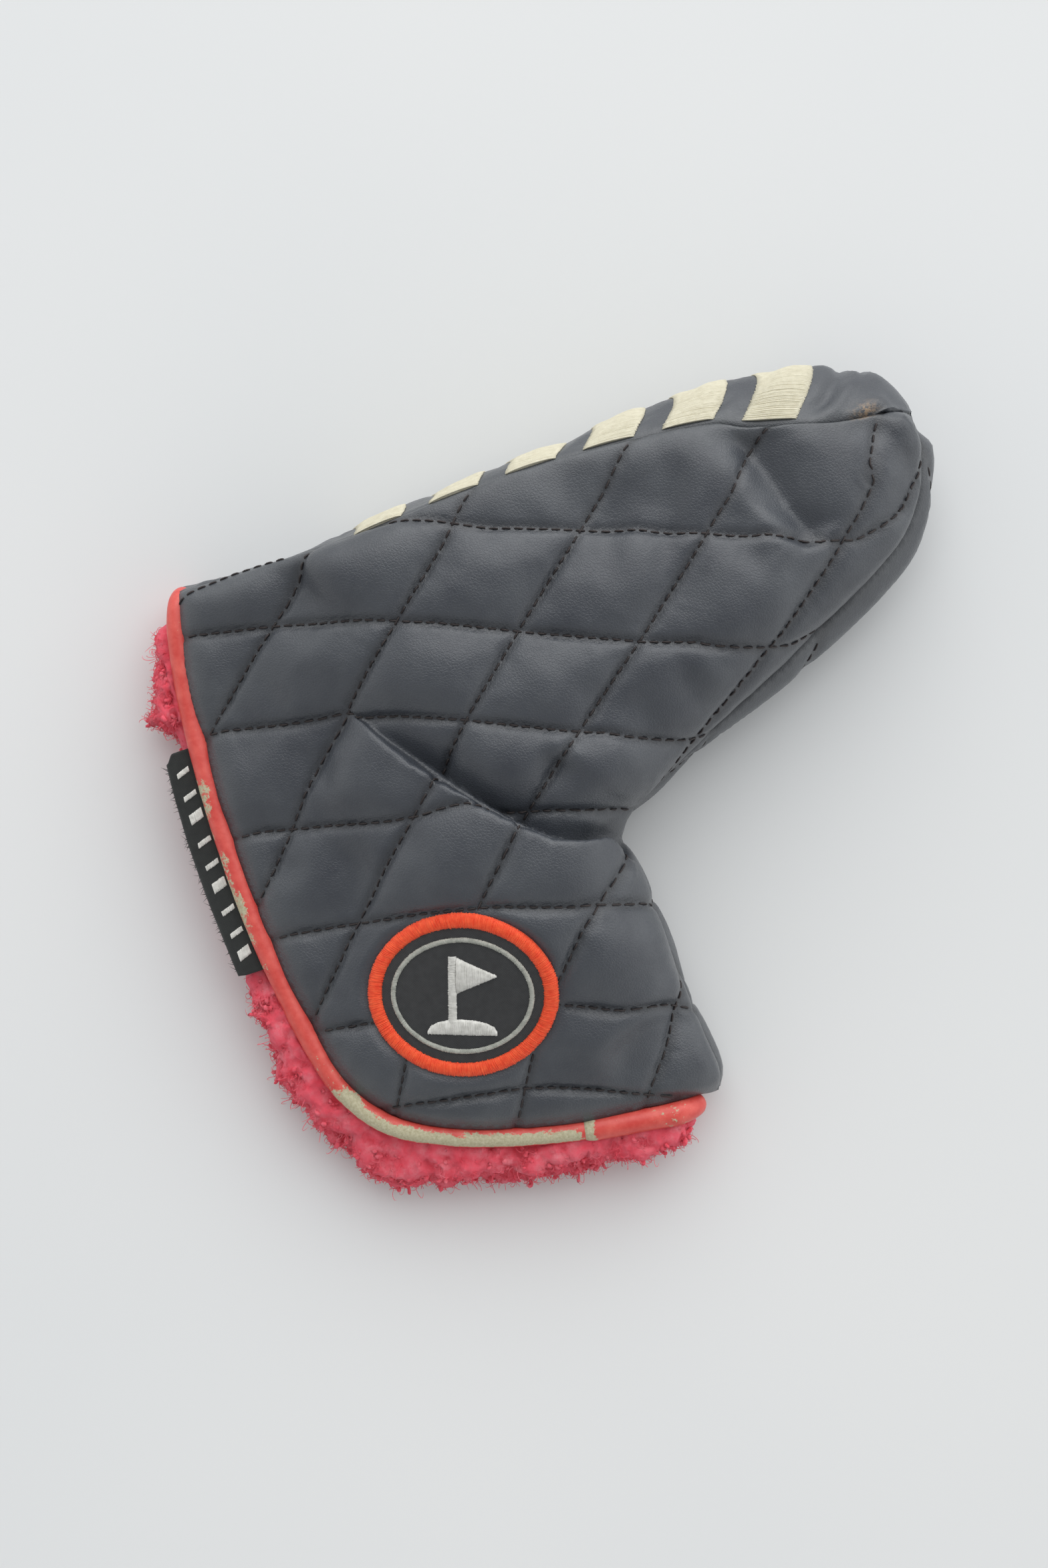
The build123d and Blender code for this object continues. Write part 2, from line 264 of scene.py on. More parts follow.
class Plan:
    """A flat triangulation whose vertex values can be read at any place in it."""

    def __init__(self, plan, tris):
        self.tree = BVHTree.FromPolygons([(x, y, 0) for x, y in plan[:, :2]], tris.tolist())
        self.plan, self.tris = plan, tris

    def read(self, places, *values):
        """Each array of vertex values, at the places."""
        hits = [self.tree.find_nearest((x, y, 0)) for x, y in np.asarray(places)[:, :2]]
        tri = self.tris[[h[2] for h in hits]]
        q = np.array([h[0][:2] for h in hits])
        a, b, c = (self.plan[tri[:, k], :2] for k in range(3))
        det = (b[:, 0] - a[:, 0]) * (c[:, 1] - a[:, 1]) - (c[:, 0] - a[:, 0]) * (b[:, 1] - a[:, 1])
        v = ((q[:, 0] - a[:, 0]) * (c[:, 1] - a[:, 1]) - (c[:, 0] - a[:, 0]) * (q[:, 1] - a[:, 1])) / det
        w = ((b[:, 0] - a[:, 0]) * (q[:, 1] - a[:, 1]) - (q[:, 0] - a[:, 0]) * (b[:, 1] - a[:, 1])) / det
        share = np.stack([1 - v - w, v, w], 1)[..., None]
        return [(value[tri] * share).sum(1) for value in values]


class Skin(Plan):
    """A panel's outer surface: the point and normal over a place in its plan."""

    def __init__(self, plan, verts, tris, out=1):
        super().__init__(plan, tris)
        self.verts, self.normals = verts, normals_of(verts, tris) * out

    def at(self, places):
        """The points and normals over places in the plan."""
        point, normal = self.read(places, self.verts, self.normals)
        return point, unit(normal)


def edges_of(tris):
    """Each triangle's three edges."""
    return np.vstack([tris[:, [0, 1]], tris[:, [1, 2]], tris[:, [2, 0]]])


def close(tris, count):
    """Faces of the closed solid between a surface and its copy behind it."""
    edges = edges_of(tris)
    known = set(map(tuple, edges.tolist()))
    rim = np.array([e for e in edges.tolist() if (e[1], e[0]) not in known])
    walls = np.c_[rim[:, 1], rim[:, 0], rim[:, 0] + count, rim[:, 1] + count]
    return tris.tolist() + (tris[:, ::-1] + count).tolist() + walls.tolist()


def pad(name, front, back, tris):
    """A closed solid between two surfaces of the same plan."""
    return make(name, np.vstack([front, back]), close(tris, len(front)))


def grid_faces(rows, columns):
    """Triangles of a grid of points, row by row."""
    i = (np.arange(rows - 1)[:, None] * columns + np.arange(columns - 1)).ravel()
    return np.vstack([np.c_[i, i + columns, i + columns + 1], np.c_[i, i + columns + 1, i + 1]])


def strands(name, centre, radius, up, sides=6):
    """Round closed strands: centre is strands x stations x 3, radius and up match it."""
    centre = np.asarray(centre, float)
    count, stations, _ = centre.shape
    along = unit(np.gradient(centre, axis=1))
    up = np.broadcast_to(up, centre.shape)
    across = unit(np.cross(along, up))
    lift = np.cross(across, along)
    angle = np.arange(sides) * 2 * math.pi / sides
    ring = across[:, :, None] * np.cos(angle)[:, None] + lift[:, :, None] * np.sin(angle)[:, None]
    verts = centre[:, :, None] + ring * np.broadcast_to(radius, (count, stations))[:, :, None, None]
    first = (np.arange(count) * stations * sides)[:, None, None]
    row = (np.arange(stations - 1) * sides)[None, :, None]
    k = np.arange(sides)
    a, b = first + row + k, first + row + (k + 1) % sides
    walls = np.stack([a, b, b + sides, a + sides], -1).reshape(-1, 4).tolist()
    caps = [(f + k[::-1]).tolist() for f in first[:, 0, 0]]
    caps += [(f + (stations - 1) * sides + k).tolist() for f in first[:, 0, 0]]
    obj = make(name, verts.reshape(-1, 3), walls + caps)
    paint(obj, "run", np.repeat(np.broadcast_to(np.linspace(0, 1, stations), (count, stations)), sides))
    return obj


def rounded(length, radius, stations, share=1.0):
    """Radii along a strand that close it with round ends."""
    s = np.linspace(0, 1, stations)
    end = np.minimum(s, 1 - s) * length / (radius * share)
    return radius * np.sqrt(1 - (1 - np.clip(end, 0.0, 1)) ** 2) + 0.02


def join(name, objects):
    """Several meshes as one object."""
    with bpy.context.temp_override(active_object=objects[0], selected_editable_objects=objects):
        bpy.ops.object.join()
    objects[0].name = name
    objects[0].data.name = name
    return objects[0]


# ---- shape of the cover

# Seams and edges in mm. Near seam of the sole strip, heel to toe, then its short end, then the seam round the
# toe, the notch and down the leg. FAR_SOLE and FAR_END are the strip's far seam and the rest of its short end.
# SOLE_EDGE runs along the strip's middle, and RIM is the mouth's edge in plan.
NEAR_SOLE = [
    (-75.5, 71.8, 16.2), (-62, 71.0, 19.5), (-48, 70.1, 24.5), (-36, 69.6, 29), (-22, 70.1, 32),
    (-6, 70.7, 33), (12, 70.5, 33.2), (29, 69.2, 33.2), (44, 67.4, 32.6), (51, 64.3, 32.4),
    (61, 61.4, 33), (69, 59.2, 32), (77.2, 58.6, 29),
]
TOE_END = [(77.2, 58.6, 29), (82.2, 58.2, 26), (86.9, 57.0, 21)]
RIDGE = [
    (86.9, 57, 21), (87.3, 52.5, 20), (86.6, 47.6, 20), (82.6, 39.4, 20), (76.2, 32, 20),
    (67.5, 26.6, 20), (56.5, 20.9, 20), (43.6, 14.6, 19.5), (31, 8.9, 18.5), (18.4, 3.0, 17),
    (8.6, -2.2, 15.5), (2.0, -6.0, 14.5), (-1.4, -9.8, 14),
]
LEG = [
    (-1.4, -9.8, 14), (0.1, -15, 14), (0.6, -25, 13.5), (1.0, -35, 13.5), (1.4, -46, 13),
    (2.2, -57, 12), (2.6, -65, 11), (1.2, -69.6, 10),
]
FAR_SOLE = [
    (-75.5, 71.2, 1.6), (-55, 70.6, 2.2), (-30, 70.5, 2.8), (0, 71, 3.2), (30, 70, 3.4),
    (50, 66.5, 3.6), (66, 61.5, 4), (78, 57.5, 5.5),
]
FAR_END = [(78, 57.5, 5.5), (84, 57.2, 10), (88.6, 57.4, 15), (86.9, 57, 21)]
SOLE_EDGE = [
    (-75.8, 72.8, 9), (-62, 72.2, 10), (-44, 71.8, 13), (-26, 73.1, 15), (-7, 74.7, 17),
    (11, 75.5, 18), (25, 76.0, 18), (40, 76.4, 18), (52, 76.0, 18), (64, 74.9, 18),
    (74.5, 72.6, 17.5), (82, 69.2, 17), (86.8, 64.5, 17), (88.3, 59.8, 17),
]
RIM = [
    (-75.9, 72.6), (-77.1, 67.5), (-78.5, 61), (-80.2, 48), (-81.1, 32), (-81.4, 17), (-81.1, 0),
    (-79.8, -16), (-77.4, -31), (-74.0, -42.5), (-67.4, -51.2), (-57.2, -57.2), (-44.6, -61.8),
    (-28.4, -65.6), (-11.2, -67.6), (-2.2, -68.8), (1.0, -69.4),
]

SEAM_STEP = 1.1
near_sole, toe_end, ridge, leg = (spline(p, SEAM_STEP) for p in (NEAR_SOLE, TOE_END, RIDGE, LEG))
far_sole, far_end, sole_edge, rim = (spline(p, SEAM_STEP) for p in (FAR_SOLE, FAR_END, SOLE_EDGE, RIM))
BLEND = 4.5
TOE_DROP = 3.5


def body_height(p):
    """Height of the near side over the plan, before its edges turn down."""
    low = MOUTH_TOP - 0.4
    rise = BODY_TOP - 1.6 - low
    from_heel = low + rise * smooth(p[:, 0], -78, -22)
    from_leg = low + rise * smooth(p[:, 1], -68, -10)
    # The lower of the two, rounded where they meet
    both = -BLEND * np.log(np.exp(-from_heel / BLEND) + np.exp(-from_leg / BLEND)) + BLEND * math.log(2) * 0.5
    return both - TOE_DROP * smooth(p[:, 0], 44, 90)


# Quilting: two families of lines, each a set of level lines of a bent grid
ROWS = np.array([80.5, 61.5, 39.8, 16.5, -6.8, -28.8, -48.2, -68])  # where the rows meet the heel edge
# How far a row has dropped at places along x, for the upper and the lower rows, and how much less the top row
# drops
UPPER_DROP = (
    [-90, -75, -57, -38, -24, -9, 15, 28, 44, 55, 64, 75, 90],
    [1, 0, -4.4, -10, -15.5, -22.5, -33, -37.6, -41, -41.2, -38.6, -32, -20],
)
LOWER_DROP = ([-90, -75, -62, -45, -30, -15, 0, 20], [1, 0, -1.9, -4.8, -7.8, -12, -17, -24])
TOP_RISE = (
    [-75, -30, 0, 22, 32, 47, 57, 64, 76, 83, 90],
    [0, 2.1, 4.8, 6.2, 4.9, 2, -2.1, -4.9, -9.9, -10.4, -8],
)
# How much further rows drop on the leg, and the share of it that a row has by how low it is
LEG_DROP = 6.3
FOOT_SHARE = ([-16.5, 6.8, 28.8, 48.2], [0, 0.42, 0.72, 1])
# The x of one column at places along y
COLUMN_LINE = (
    [-80, -60, -40, -10, 0, 10, 30, 46, 62, 80],
    [-84, -72.5, -60.5, -31.5, -21, -9, 17, 36.5, 56, 78],
)


def row_bend(p):
    """How far a row of quilting has dropped at a place, against the heel edge."""
    x = p[:, 0]
    share = smooth(p[:, 1], -12, 16)
    bend = np.interp(x, *UPPER_DROP) * share + np.interp(x, *LOWER_DROP) * (1 - share)
    level = p[:, 1] - bend
    top = np.interp(x, *TOP_RISE)
    bend = bend + top * smooth(level, ROWS[1], ROWS[0] + np.minimum(top, 0) * 0.8)
    return bend - LEG_DROP * np.interp(-level, *FOOT_SHARE) * smooth(x, -42, 6)


def column_place(p):
    """Which column of quilting a place is in, as a number with whole numbers on the lines."""
    y = p[:, 1]
    base = np.interp(y, *COLUMN_LINE)
    # Wider columns above the fold, and narrower ones by the sole towards the toe
    pitch = 33.4 + 2.7 * np.tanh((y - 18) / 12) - 7 * smooth(y, 44, 60) * (p[:, 0] > base)
    return (p[:, 0] - base) / pitch


SLOPE_X, SLOPE_Y = [0.4, 0], [0, 0.4]


def slope(value, p, step):
    """How fast a function of plan places changes along a step."""
    return (value(p + step) - value(p - step)) / (2 * max(step))


def quilt(p):
    """Distance to the nearest row line and column line, and the puff between them from 0 to 1."""
    level = p[:, 1] - row_bend(p)
    share = np.interp(-level, -ROWS, np.arange(len(ROWS)))
    to_row = np.abs(level[:, None] - ROWS).min(1) / np.sqrt(1 + slope(row_bend, p, SLOPE_X) ** 2)
    place = column_place(p)
    gradient = np.hypot(slope(column_place, p, SLOPE_X), slope(column_place, p, SLOPE_Y))
    to_column = np.abs(place - np.round(place)) / gradient
    puff = np.sqrt(np.abs(np.sin(math.pi * share)) * np.abs(np.sin(math.pi * place)) + 1e-6)
    return to_row, to_column, puff


def quilt_lines(ring, margin):
    """The quilting lines in plan, each clipped to the ring."""
    found = []
    xs = np.arange(-92, 96, 0.5)
    for row in ROWS:
        y = np.full(len(xs), row)
        for _ in range(12):
            y = row + row_bend(np.c_[xs, y])
        found.append(np.c_[xs, y])
    ys = np.arange(-82, 84, 0.5)
    for column in range(-4, 4):
        low, high = np.full(len(ys), -200.0), np.full(len(ys), 200.0)
        for _ in range(30):
            half = (low + high) / 2
            under = column_place(np.c_[half, ys]) < column
            low, high = np.where(under, half, low), np.where(under, high, half)
        found.append(np.c_[low, ys])
    lines = []
    for line in found:
        ok = inside(line, ring)
        ok &= near_line(line, closed_line(ring))[0] > margin
        edges = np.flatnonzero(np.diff(np.r_[0, ok.astype(int), 0]))
        lines += [line[a:b] for a, b in zip(edges[::2], edges[1::2]) if b - a > 8]
    return lines


# A fold: its valley's path in plan, its depth, the width of the slope down to it, the width and height of the
# lip on its other side, how far the lip's swelling reaches, the shares of the path over which it fades in and
# out, the lip's side (1 left, -1 right), and how far the lip leans over the valley
Fold = namedtuple("Fold", "path depth slope lip swell reach fade_in fade_out hand over")
MAIN_FOLD = [
    (-51.6, 42.1), (-49.4, 37.4), (-44.9, 28.8), (-38.0, 18.0), (-30.6, 8.9), (-22.7, 0.3),
    (-13.8, -7.0), (-2.6, -13.2),
]
TOE_FOLD = [(45.5, 68), (48.5, 60), (52.4, 49.8), (57.6, 37.5)]
FOLDS = [
    Fold(MAIN_FOLD, 6.8, 8.0, 2.8, 0.8, 9.0, 0.42, 0.0, -1, 3.7),
    Fold(TOE_FOLD, 3.4, 4.6, 7.0, 1.0, 5.0, 0.35, 0.06, -1, 0.0),
]
# A soft crease: its path, depth and width, the height of the swelling beside it (to the left if positive) and
# how far off that is, how much wider the groove is on the other side, and the shares of the path over which it
# fades
Crease = namedtuple("Crease", "path depth width swell reach spread fade_in fade_out")
CREASES = [
    Crease([(-14.5, 12.5), (-10, 8.6), (-4.5, 4.6)], 1.7, 2.8, 0.9, 4.5, 1.9, 0.4, 0.5),
    Crease([(-56, 70), (-49, 61), (-43, 52)], 2.4, 4.5, 1.0, 7.0, 1.9, 0.4, 0.5),
    Crease([(77, 60), (80, 49), (78, 40)], 1.5, 2.6, 0.8, 4.5, 1.9, 0.15, 0.5),
    Crease([(22, 68), (16, 53), (6, 40)], 1.6, 5.0, 0.8, 8.0, 1.9, 0.5, 0.5),
    Crease([(34, 64), (29, 51), (20, 36)], 1.4, 4.0, 0.8, 7.0, 1.9, 0.4, 0.5),
    Crease([(-64, 20), (-56, 27), (-49, 38)], 1.3, 4.0, -0.8, 7.0, 1.9, 0.4, 0.4),
    Crease([(-12, -12), (-8, -24), (-9, -36)], 1.2, 3.6, 0.9, 6.0, 1.9, 0.4, 0.5),
    Crease([(-24, -58), (-12, -52), (0, -50)], 1.4, 4.0, 0.9, 6.0, 1.9, 0.4, 0.2),
    Crease([(-5, 22), (6, 20), (18, 24)], 1.2, 6.0, 0.6, 9.0, 1.9, 0.5, 0.5),
    Crease([(2, 10), (14, 15), (28, 19.5)], 2.0, 4.5, 0.5, 8.0, 1.4, 0.4, 0.3),
    Crease([(38, 40), (48, 36), (60, 38)], 1.0, 4.0, 0.6, 7.0, 1.9, 0.5, 0.5),
    Crease([(-66, -10), (-58, 0), (-52, 12)], 1.2, 4.5, -0.7, 7.0, 1.9, 0.5, 0.5),
]
fold_lines = [spline(fold.path, 0.8) for fold in FOLDS]


def beside(line, amount):
    """A plan line moved sideways, to its left for a positive amount."""
    along = unit(np.gradient(line, axis=0))
    return line + np.c_[-along[:, 1], along[:, 0]] * amount


def past_end(share):
    """True for places whose nearest point of a path is one of its ends."""
    return (share <= 1e-6) | (share >= 1 - 1e-6)


def creased(p):
    """How far the folds and creases move the near side in or out."""
    total = np.zeros(len(p))
    for fold, line in zip(FOLDS, fold_lines):
        d, _, share, side = near_line(p, line)
        fade = smooth(share, 0, fold.fade_in) * (1 - smooth(share, 1 - fold.fade_out - 1e-6, 1) * 0.9)
        beyond = np.where(past_end(share), bell(d, 3), 1)
        dip = -fold.depth * np.exp(-((d / fold.slope) ** 1.4))  # a sharper valley than a bell's
        lip = fold.lip * (1 + 0.3 * (1 - fade))  # wider where the fold fades
        risen = np.clip(d / lip, 0, 1) * math.pi
        up = np.sin(risen / 2) if fold.over else (1 - np.cos(risen)) / 4 + np.sin(risen / 2) / 2
        crest = -fold.depth + (fold.depth + fold.swell) * up
        crest = np.where(d > lip, fold.swell * bell(d - lip, fold.reach), crest)
        total += fade * beyond * np.where(side * fold.hand > 0, crest, dip)
    for crease in CREASES:
        d, _, share, side = near_line(p, spline(crease.path, 1.5))
        fade = smooth(share, 0, crease.fade_in) * (1 - smooth(share, 1 - crease.fade_out, 1) * 0.85)
        signed = d * side * np.sign(crease.swell)
        groove = np.where(signed > 0, d / crease.width, d / (crease.width * crease.spread))
        hump = bell(signed - crease.reach, crease.reach * 0.75) * np.where(past_end(share), bell(d, 6), 1)
        total += fade * (-crease.depth * bell(groove, 1) + abs(crease.swell) * hump)
    return total


def overhang(p):
    """How far the lip of a fold leans over its valley, in plan."""
    total = np.zeros((len(p), 2))
    for fold, line in zip(FOLDS, fold_lines):
        d, foot, share, side = near_line(p, line)
        amount = (
            fold.over
            * smooth(share, 0, fold.fade_in / 2)
            * (1 - smooth(share, 0.9, 1.0))
            * (side * fold.hand > 0)
        )
        rise = np.sin(np.clip(d / fold.lip, 0, 1) * math.pi / 2)
        amount = amount * np.where(d < fold.lip, rise, bell(d - fold.lip, 5.5))
        total -= unit(p - foot[:, :2] + 1e-9) * amount[:, None]
    return total


BADGE_LOW, BADGE_HIGH = cad_box("patch_border")
BADGE = (BADGE_LOW[:2] + BADGE_HIGH[:2]) / 2
BADGE_RADII = np.array([20.3, 17.6])


def badge_place(p):
    """Place in the badge's own oval: radius (1 at its edge) and angle."""
    q = p[:, :2] - BADGE
    c, s = math.cos(-PICTURE_TURN), math.sin(-PICTURE_TURN)
    q = np.c_[q[:, 0] * c - q[:, 1] * s, q[:, 0] * s + q[:, 1] * c] / BADGE_RADII
    return np.hypot(q[:, 0], q[:, 1]), np.arctan2(q[:, 1], q[:, 0])


# ---- near side

# Plan rings, and seams as plan places followed by points in space
near_ring = np.vstack([near_sole[:-1, :2], toe_end[:-1, :2], ridge[:-1, :2], leg[:, :2], rim[::-1][1:-1]])
near_closed = np.vstack([near_sole[:-1], toe_end[:-1], ridge[:-1], leg])
near_closed = np.c_[near_closed[:, :2], near_closed]
PAD = 4.0


def turned(p, closed, height, reach, bulge):
    """Turns a panel's sewn edges towards their seam. Returns surface points and the plan distance to the seam.

    closed holds each seam point's place in the plan and then in space. height is the panel's own height, and
    reach the width over which it turns. Where bulge is above 0 it hangs out past its seam as slack cloth does,
    and elsewhere it is rounded down to it."""
    d, foot, _, _ = near_line(p, closed)
    s = np.clip(d / reach, 0, 1)[:, None]
    inward = unit(p - foot[:, :2] + 1e-9)
    round_in = reach[:, None] * (1 - np.cos(s * math.pi / 2))
    round_z = foot[:, 4:] + (height[:, None] - foot[:, 4:]) * np.sin(s * math.pi / 2)
    left = 1 - s
    slack_in = (-5.7 * left**2 * s - 4.5 * left * s**2) * bulge[:, None] + s**3 * reach[:, None]
    slack_z = foot[:, 4:] * (left**3 + 3 * left**2 * s * 0.74) + height[:, None] * (3 * left * s**2 + s**3)
    slack_z = slack_z + height[:, None] * 3 * left**2 * s * 0.26
    wide = bulge[:, None] > 0
    place = foot[:, 2:4] + inward * np.where(wide, slack_in, round_in)
    place = np.where(s < 1, place, p)
    z = np.where(wide, slack_z, round_z)
    return np.c_[place, np.where(s < 1, z, height[:, None])], d


def near_surface(p):
    """The near side over its plan, before quilting."""
    reach = 8 + 8 * smooth(p[:, 1], 66, 48) + 2 * smooth(p[:, 0], 40, 70)
    reach *= 0.5 + 0.5 * smooth(np.hypot(p[:, 0] - 85, p[:, 1] - 58), 4, 26)
    base, d = turned(p, near_closed, body_height(p), reach, np.zeros(len(p)))
    to_rim = near_line(p, rim)[0]
    base[:, 2] -= 1.7 * bell(to_rim, 2.0)
    return base, d, to_rim


PUFF = 2.0
VALLEY_DEPTH, VALLEY_WIDTH = 0.65, 0.9
PUCKER, WAVES = 0.11, 0.14


def quilted(p, base, up, to_edge, badge):
    """Puffs of a quilted side, the distance to the nearest quilting line, and how free of the edges it is."""
    to_row, to_column, puff = quilt(p)
    held = smooth(to_edge, 0, 7)
    lift = PUFF * puff * (0.25 + 0.75 * held) * (1 - 0.8 * badge) - 0.2
    return base + up * lift[:, None], np.minimum(to_row, to_column), held


CLOTH = {
    "quality": 6,
    "mass": 0.25,
    "tension_stiffness": 18,
    "compression_stiffness": 18,
    "shear_stiffness": 8,
    "bending_stiffness": 1.5,
    "air_damping": 2,
    "vertex_group_mass": "pin",
    "use_pressure": True,
    "uniform_pressure_force": 1.0,
    "shrink_min": -0.02,  # the leather has grown a little, so it wrinkles
}
CLOTH_SCALE = 12  # the solver behaves badly on small objects
CLOTH_FRAMES = 14
CLOTH_CAP = 1.6


def simulate(verts, faces, pinned):
    """Lets a padded panel swell and wrinkle between what holds it, and caps how far a point moves."""
    scale = CLOTH_SCALE * MM
    cloth = make("cloth", verts, faces)
    cloth.data.vertices.foreach_set("co", (verts * scale).ravel())
    cloth.data.update()
    group = cloth.vertex_groups.new(name="pin")
    for weight in np.unique(np.round(pinned, 1)):
        group.add(np.flatnonzero(np.round(pinned, 1) == weight).tolist(), float(weight), "REPLACE")
    cloth.modifiers.new("Cloth", "CLOTH")
    settings = cloth.modifiers["Cloth"].settings
    for key, value in CLOTH.items():
        setattr(settings, key, value)
    settings.effector_weights.gravity = 0
    cloth.modifiers["Cloth"].collision_settings.use_collision = False
    cloth.modifiers["Cloth"].point_cache.frame_end = CLOTH_FRAMES + 1
    for step in range(1, CLOTH_FRAMES + 1):
        bpy.context.scene.frame_set(step)
    shape = cloth.evaluated_get(bpy.context.evaluated_depsgraph_get()).to_mesh()
    moved = np.zeros(len(verts) * 3)
    shape.vertices.foreach_get("co", moved)
    bpy.context.scene.frame_set(1)
    bpy.data.objects.remove(cloth)
    change = moved.reshape(-1, 3) / scale - verts
    length = np.linalg.norm(change, axis=1, keepdims=True)
    return change * np.minimum(1, CLOTH_CAP / np.maximum(length, 1e-9))


def eased(values, tris, rounds):
    """Vertex values averaged with their neighbours a few times."""
    edges = edges_of(tris)
    edges = np.vstack([edges, edges[:, ::-1]])
    count = np.bincount(edges[:, 0], minlength=len(values))[:, None]
    for _ in range(rounds):
        total = np.stack([np.bincount(edges[:, 0], values[edges[:, 1], k], len(values)) for k in range(3)], 1)
        values = 0.4 * values + 0.6 * total / np.maximum(count, 1)
    return values


def resting(z, lowest=0.05, soft=0.35):
    """Heights pressed flat against the floor where they would go below it."""
    return lowest + soft * np.log1p(np.exp((z - lowest) / soft))


TOE_SCUFF = [75.8, 58.6]
SPACING = 0.9
SIMULATION_SPACING = 1.7


def padded_panel(
    name, ring, surface, out, badge_of, crease_of, spacing, seed, lines=(), lean_of=lambda p: 0.0
):
    """A quilted pad over a plan ring: base shape, puffs, creases, a cloth simulation, then the sewn valleys.

    surface gives the base shape, out is 1 for a side that faces up and -1 for one that faces down, badge_of
    says where a badge keeps it flat, crease_of and lean_of move it up and sideways, and the mesh has points
    along the lines."""

    def laid_out(spacing, seed):
        """The panel before its simulation, with its points at a spacing."""
        plan, tris = fill(ring, spacing, seed, lines)
        base, to_seam, to_rim = surface(plan)
        up = normals_of(base, tris) * out
        base = base + up * crease_of(plan)[:, None]
        base[:, :2] += lean_of(plan)
        return plan, tris, base, up, np.minimum(to_seam, to_rim), badge_of(plan)

    change = None
    plan, tris, base, up, to_edge, badge = laid_out(SIMULATION_SPACING, seed)
    start, nearest, _ = quilted(plan, base, up, to_edge, badge)
    # held by the thread, the seam, the badge and the folds
    hold = [bell(nearest, VALLEY_WIDTH), bell(to_edge, 1.5) * 1.1, badge]
    hold += [bell(near_line(plan, line)[0], 3.5) for line in lines]
    pinned = np.clip(np.maximum.reduce(hold), 0, 1)
    faces = tris if out > 0 else tris[:, ::-1]
    change = eased(simulate(start, faces.tolist(), pinned), tris, 3)
    coarse = Plan(plan, tris)
    plan, tris, base, up, to_edge, badge = laid_out(spacing, seed + 1)
    verts, nearest, held = quilted(plan, base, up, to_edge, badge)
    if change is not None:
        verts = verts + coarse.read(plan, change)[0]
    for line in lines:  # evens out the steps that mesh rows leave in a fold
        near = bell(near_line(plan, line)[0], 2.5) * smooth(to_edge, 0, 2)
        verts = verts + (eased(verts, tris, 1) - verts) * near[:, None]
    normal = normals_of(verts, tris) * out
    sewn = bell(nearest, VALLEY_WIDTH) * (1 - badge)
    valley = -VALLEY_DEPTH * sewn * (0.35 + 0.65 * held)
    pucker = noise(plan, 1.7, 3) * bell(nearest, 3.0) * PUCKER * (1 - badge)
    verts = verts + normal * (valley + pucker + fractal(plan, 11, 5, 2) * WAVES)[:, None]
    if out < 0:
        verts[:, 2] = resting(verts[:, 2])
    back = base - up * PAD * (0.6 + 0.4 * smooth(to_edge, 0, 4))[:, None]
    panel = pad(name, verts, back, tris if out > 0 else tris[:, ::-1])
    # The sewn mask also darkens the leather's colour, as painted shade in the stitch valleys with some dirt
    paint(panel, "sewn", np.r_[sewn, sewn * 0])
    # Nearness to the edge, which the leather turns into wear and a painted sheen
    edge = np.exp(-to_edge / 4)
    paint(panel, "edge", np.r_[edge, edge])
    paint(panel, "scuff", np.exp(-(((np.r_[plan, plan] - TOE_SCUFF) / [2.4, 1.2]) ** 2).sum(1)))
    return panel, Skin(plan, verts, tris, out)


def under_badge(p):
    """1 under the badge, which keeps the side flat, and 0 away from it."""
    return smooth(badge_place(p)[0], 1.12, 0.98)


def near_crease(p):
    """The near side's folds and creases, faded out at its seam and mostly flat under the badge."""
    return creased(p) * (1 - 0.7 * under_badge(p)) * smooth(near_line(p, near_closed)[0], 0.5, 6)


# Mesh lines along each fold's valley, and up the lip of a fold that leans over
mesh_lines = [
    beside(line, -fold.lip * share)
    for line, fold in zip(fold_lines, FOLDS)
    for share in ((0.0, 0.5, 1.0) if fold.over else (0.0,))
]
near_panel, near_skin = padded_panel(
    "near_panel", near_ring, near_surface, 1, under_badge, near_crease, SPACING, 1, mesh_lines, overhang
)

# ---- far side, lying on the floor

FLOOR_GAP = 1.0
NOTCH = [-1.4, -9.8]
far_rim = rim + [1.2, 0.6]
far_end_plan = np.linspace([78, 57.5], [86.9, 57], len(far_end))
far_closed = [np.c_[far_sole[:-1, :2], far_sole[:-1]], np.c_[far_end_plan, far_end][:-1]]
far_closed = np.vstack(far_closed + [np.c_[ridge[:, :2], ridge][:-1], np.c_[leg[:, :2], leg]])
far_ring = np.vstack([far_closed[:, :2], far_rim[::-1][1:-1]])


def far_surface(p):
    """The far side over its plan: flat on the floor, rounded up to its seams."""
    foot = near_line(p, far_closed)[1]
    seam_z = foot[:, 4]
    bulge = 0.15 + 3.2 * smooth(p[:, 0], 5, 48) * smooth(seam_z, 9, 17) + 0.6 * smooth(seam_z, 8, 12)
    bulge *= smooth(foot[:, 1], 56.5, 49)  # none at the toe corner
    bulge = bulge * smooth(np.hypot(*(foot[:, :2] - NOTCH).T), 2, 16) + 0.02
    reach = 5 + 10 * smooth(seam_z, 6, 14)
    base, d = turned(p, far_closed, np.full(len(p), FLOOR_GAP), reach, bulge)
    return base, d, near_line(p, far_rim)[0]


def nothing(p):
    """No badge and no creases."""
    return np.zeros(len(p))


far_panel, far_skin = padded_panel("far_panel", far_ring, far_surface, -1, nothing, nothing, SPACING * 1.2, 5)

# ---- sole strip

SOLE_LENGTH, SOLE_WIDTH = 168.0, 36.0
SOLE_OUT = np.array([0.0, 1, 0])


def sole_surface(u, v):
    """The strip's outer surface: u from heel to toe and v from the near seam to the far one, both 0 to 1."""
    near, far, edge = (at_share(line, u) for line in (near_sole, far_sole, sole_edge))
    control = 2 * edge - (near + far) / 2
    v3 = v[..., None]
    point = (1 - v3) ** 2 * near + 2 * v3 * (1 - v3) * control + v3**2 * far
    end = at_share(np.vstack([toe_end, far_end[::-1][1:]]), v)
    return point + (end - point) * smooth(u, 0.93, 1.0)[..., None] * 0.92


